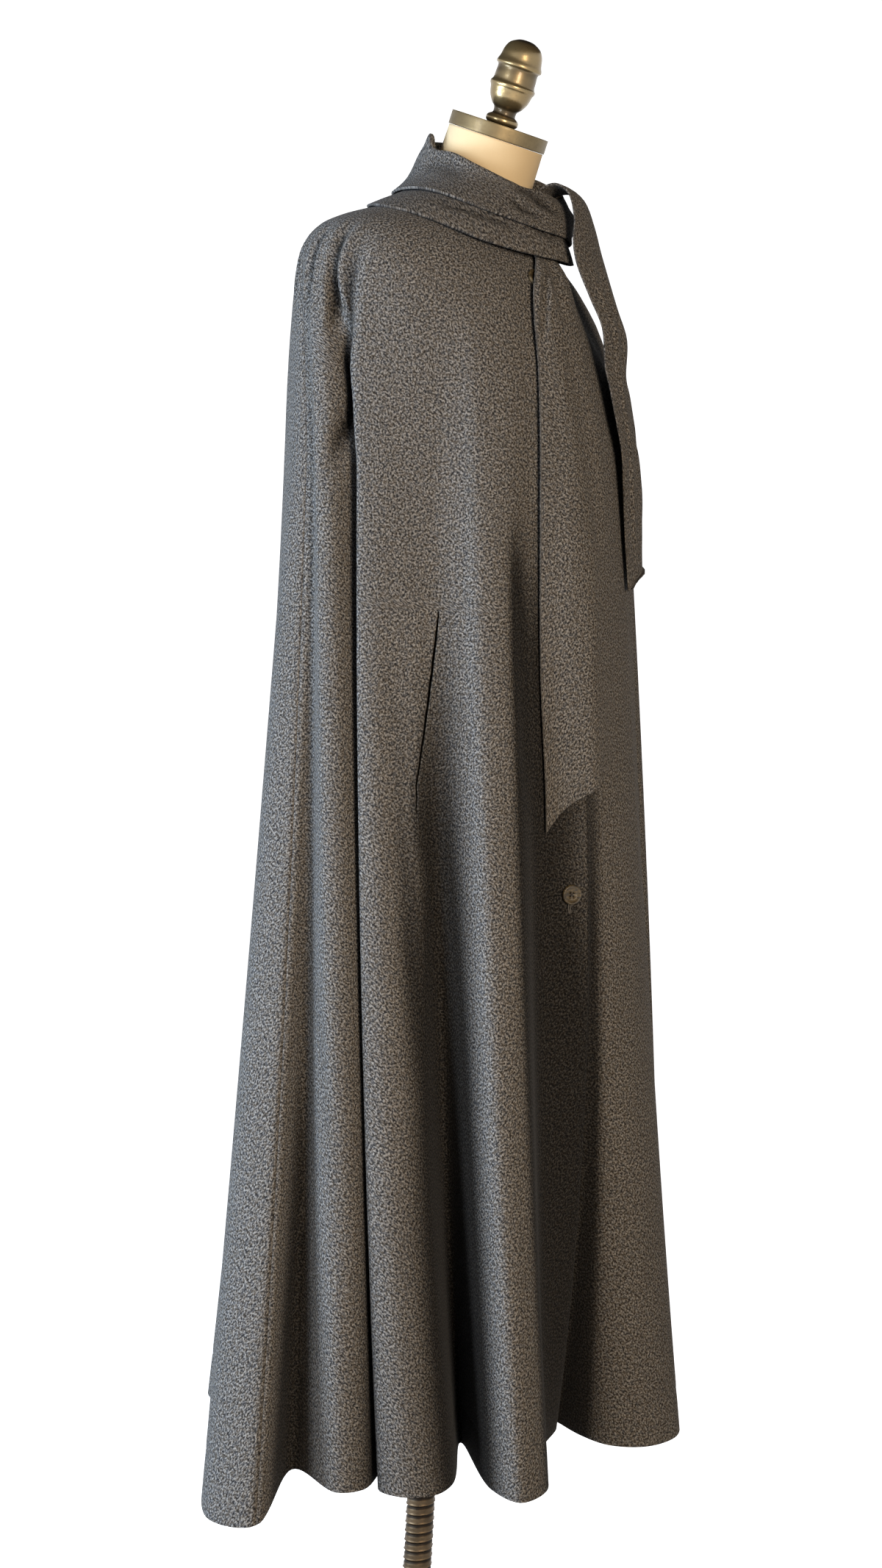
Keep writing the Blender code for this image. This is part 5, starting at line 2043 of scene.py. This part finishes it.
@dataclass
class Stand:
    """The threaded stem and its round base."""

    stem_radius: float = 0.016
    thread_foot: float = 0.090
    thread_top: float = 0.42
    stem_top: float = 0.820
    pitch: float = 0.010
    depth: float = 0.0022
    lip: float = 0.001
    columns: int = 48
    per_turn: int = 14
    run_out: float = 0.006
    thread_places: tuple[float, ...] = (0.0, 0.30, 0.52, 0.60, 0.78, 0.86, 1.0)
    socket_floor: float = 0.0465
    base: Pairs = (
        (0.0, 0.0460), (0.0300, 0.0460), (0.0322, 0.0452), (0.0330, 0.0430),
        (0.0345, 0.0330), (0.0420, 0.0270), (0.0600, 0.0245), (0.0900, 0.0220),
        (0.1500, 0.0160), (0.1740, 0.0120), (0.1790, 0.0070), (0.1800, 0.0030),
        (0.1780, 0.0), (0.0, 0.0),
    )

    def build(self, maker: Maker, finishes: Finishes) -> None:
        """Builds the stem and the base.

        Args:
            maker: Makes the pieces.
            finishes: The part's materials.
        """
        rows = int((self.thread_top - self.thread_foot) / self.pitch * self.per_turn)
        threaded = np.linspace(self.thread_foot, self.thread_top, rows)
        plain_foot = (self.socket_floor, self.thread_foot - 0.002)
        plain_top = (self.thread_top + 0.004, self.stem_top)
        heights = np.concatenate([plain_foot, threaded, plain_top])[::-1]
        angles = np.arange(self.columns) * math.tau / self.columns
        phase = (heights[:, None] / self.pitch - angles[None] / math.tau) % 1.0
        land = self.stem_radius - self.lip
        groove = self.stem_radius - self.depth
        shape = (land, land, groove, groove, self.stem_radius, land, land)
        radius = np.interp(phase, self.thread_places, shape)
        ends = smoothstep((heights - self.thread_foot) / self.run_out)
        ends = ends * smoothstep((self.thread_top - heights) / self.run_out)
        radius = land + (radius - land) * ends[:, None]
        levels = np.broadcast_to(heights[:, None], radius.shape)
        grid = np.stack([radius * np.cos(angles), radius * np.sin(angles), levels], axis=2)
        worn = np.clip(0.5 + (radius - land) * 520.0, 0.0, 1.0)
        faces = barrel_faces(*grid.shape[:2])
        stem = maker.mesh_piece("bronze_stem", grid, faces, finishes.stem, Slot.BRONZE, False, worn=worn)
        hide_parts("stem")
        plate = turned_piece(
            maker, "iron_base", np.array(self.base), 128, finishes.iron, Slot.IRON, Matrix(), 4, False
        )
        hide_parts("base_plate")


# The studio


@dataclass
class Studio:
    """The photograph's viewpoint, soft light and a pale floor that curves up behind."""

    turn: float = 50.0
    distance: float = 2.30
    height: float = 1.08
    roll: float = 3.05
    pitch: float = 3.204
    yaw: float = 0.482
    frame_pixels: float = 2133.0
    focal_pixels: float = 2948.7
    sensor_height: float = 24.0
    aim_height: float = 0.95
    floor_columns: int = 96
    backdrop: Triple = (0.93, 0.93, 0.93)

    def build(self) -> None:
        """Builds the camera, the lights and the stage."""
        self.camera()
        self.light("window_left", (124.0, 2.7, 0.7), (1.1, 1.5), 102.0, (0.68, 0.83, 1.0))
        self.light("window_near", (96.0, 2.8, 1.4), (0.8, 1.2), 50.0, (0.88, 0.94, 1.0))
        self.light("lamp_near", (30.0, 2.9, 1.4), (0.7, 0.9), 66.0, (1.0, 0.81, 0.60))
        self.world()
        self.stage()

    def camera(self) -> None:
        """Places the camera where the photograph was taken from."""
        angle = math.radians(self.turn)
        forward = Vector((math.sin(angle), math.cos(angle), 0.0))
        place = forward * -self.distance + Vector((0.0, 0.0, self.height))
        level = Vector((forward.y, -forward.x, 0.0))
        pitch, yaw, roll = (math.radians(value) for value in (self.pitch, self.yaw, self.roll))
        ahead = Matrix.Rotation(yaw, 3, "Z") @ forward
        side = Matrix.Rotation(yaw, 3, "Z") @ level
        ahead = (ahead * math.cos(pitch) - Vector((0.0, 0.0, 1.0)) * math.sin(pitch)).normalized()
        above = side.cross(ahead).normalized()
        image_right = side * math.cos(roll) + above * math.sin(roll)
        image_up = above * math.cos(roll) - side * math.sin(roll)
        data = bpy.data.cameras.new("photo_view")
        data.sensor_fit = "VERTICAL"
        data.sensor_height = self.sensor_height
        data.lens = self.focal_pixels * self.sensor_height / self.frame_pixels
        camera = bpy.data.objects.new("photo_view", data)
        camera.matrix_world = Matrix.Translation(place) @ Matrix(
            (image_right, image_up, -ahead)
        ).transposed().to_4x4()
        bpy.context.scene.collection.objects.link(camera)
        bpy.context.scene.camera = camera

    def light(
        self,
        name: str,
        place: Triple,
        size: tuple[float, float],
        power: float,
        colour: Triple,
    ) -> None:
        """Adds an upright soft light that faces the coat.

        Args:
            name: Its name.
            place: Its bearing from the front, distance and height.
            size: Its width and height.
            power: Its power in watts.
            colour: Its colour.
        """
        data = bpy.data.lights.new(name, "AREA")
        data.shape = "RECTANGLE"
        data.size, data.size_y = size
        data.energy = power
        data.color = colour
        lamp = bpy.data.objects.new(name, data)
        lamp.location = on_bearing(*place)
        toward = Vector((0.0, 0.0, self.aim_height)) - lamp.location
        lamp.rotation_euler = toward.to_track_quat("-Z", "Y").to_euler()
        bpy.context.scene.collection.objects.link(lamp)

    def world(self) -> None:
        """Sets a soft pale surround."""
        world = bpy.data.worlds.new("surround")
        world.use_nodes = True
        background = world.node_tree.nodes["Background"]
        background.inputs["Color"].default_value = (1.0, 0.96, 0.90, 1.0)
        background.inputs["Strength"].default_value = 0.04
        bpy.context.scene.world = world
        bpy.context.scene.view_settings.view_transform = "Standard"

    def stage(self) -> None:
        """Makes the floor, which curves up into a backdrop all round."""
        radii = np.array([0.0001, 2.0, 5.0, 6.2, 6.8, 7.0, 7.0])
        levels = np.array([0.0, 0.0, 0.0, 0.15, 0.7, 1.6, 5.0])
        angles = np.arange(self.floor_columns) * math.tau / self.floor_columns
        across = (np.outer(radii, np.cos(angles)), np.outer(radii, np.sin(angles)))
        grid = np.stack([*across, np.outer(levels, np.ones(len(angles)))], axis=2)
        faces = [face[::-1] for face in grid_faces(len(radii), len(angles))]
        mesh = bpy.data.meshes.new("pale_floor")
        mesh.from_pydata(grid.reshape(-1, 3).tolist(), [], faces)
        mesh.shade_smooth()
        floor = bpy.data.objects.new("pale_floor", mesh)
        floor.visible_diffuse = False
        made = Shading("pale_floor", 0.9)
        made.set({
            "Base Color": (*self.backdrop, 1.0),
            "Emission Color": (1.0, 1.0, 1.0, 1.0),
            "Emission Strength": 1.0,
        })
        mesh.materials.append(made.material)
        bpy.context.scene.collection.objects.link(floor)


def main() -> None:
    """Builds the coat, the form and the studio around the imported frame."""
    logging.basicConfig(level=logging.INFO, format="%(name)s: %(message)s")
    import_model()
    maker = Maker()
    finishes = all_finishes()
    surface = CapeSurface()
    log.info("cape surface has %d rows of %d points", *surface.rings.shape[:2])
    builders = (
        Cape(surface),
        Collar(surface),
        TieEnds(surface),
        Buttons(surface),
        DressForm(surface),
        Stand(),
    )
    for builder in builders:
        builder.build(maker, finishes)
    Studio().build()
    log.info("%d pieces made", len(maker.pieces))


if __name__ == "__main__":
    main()
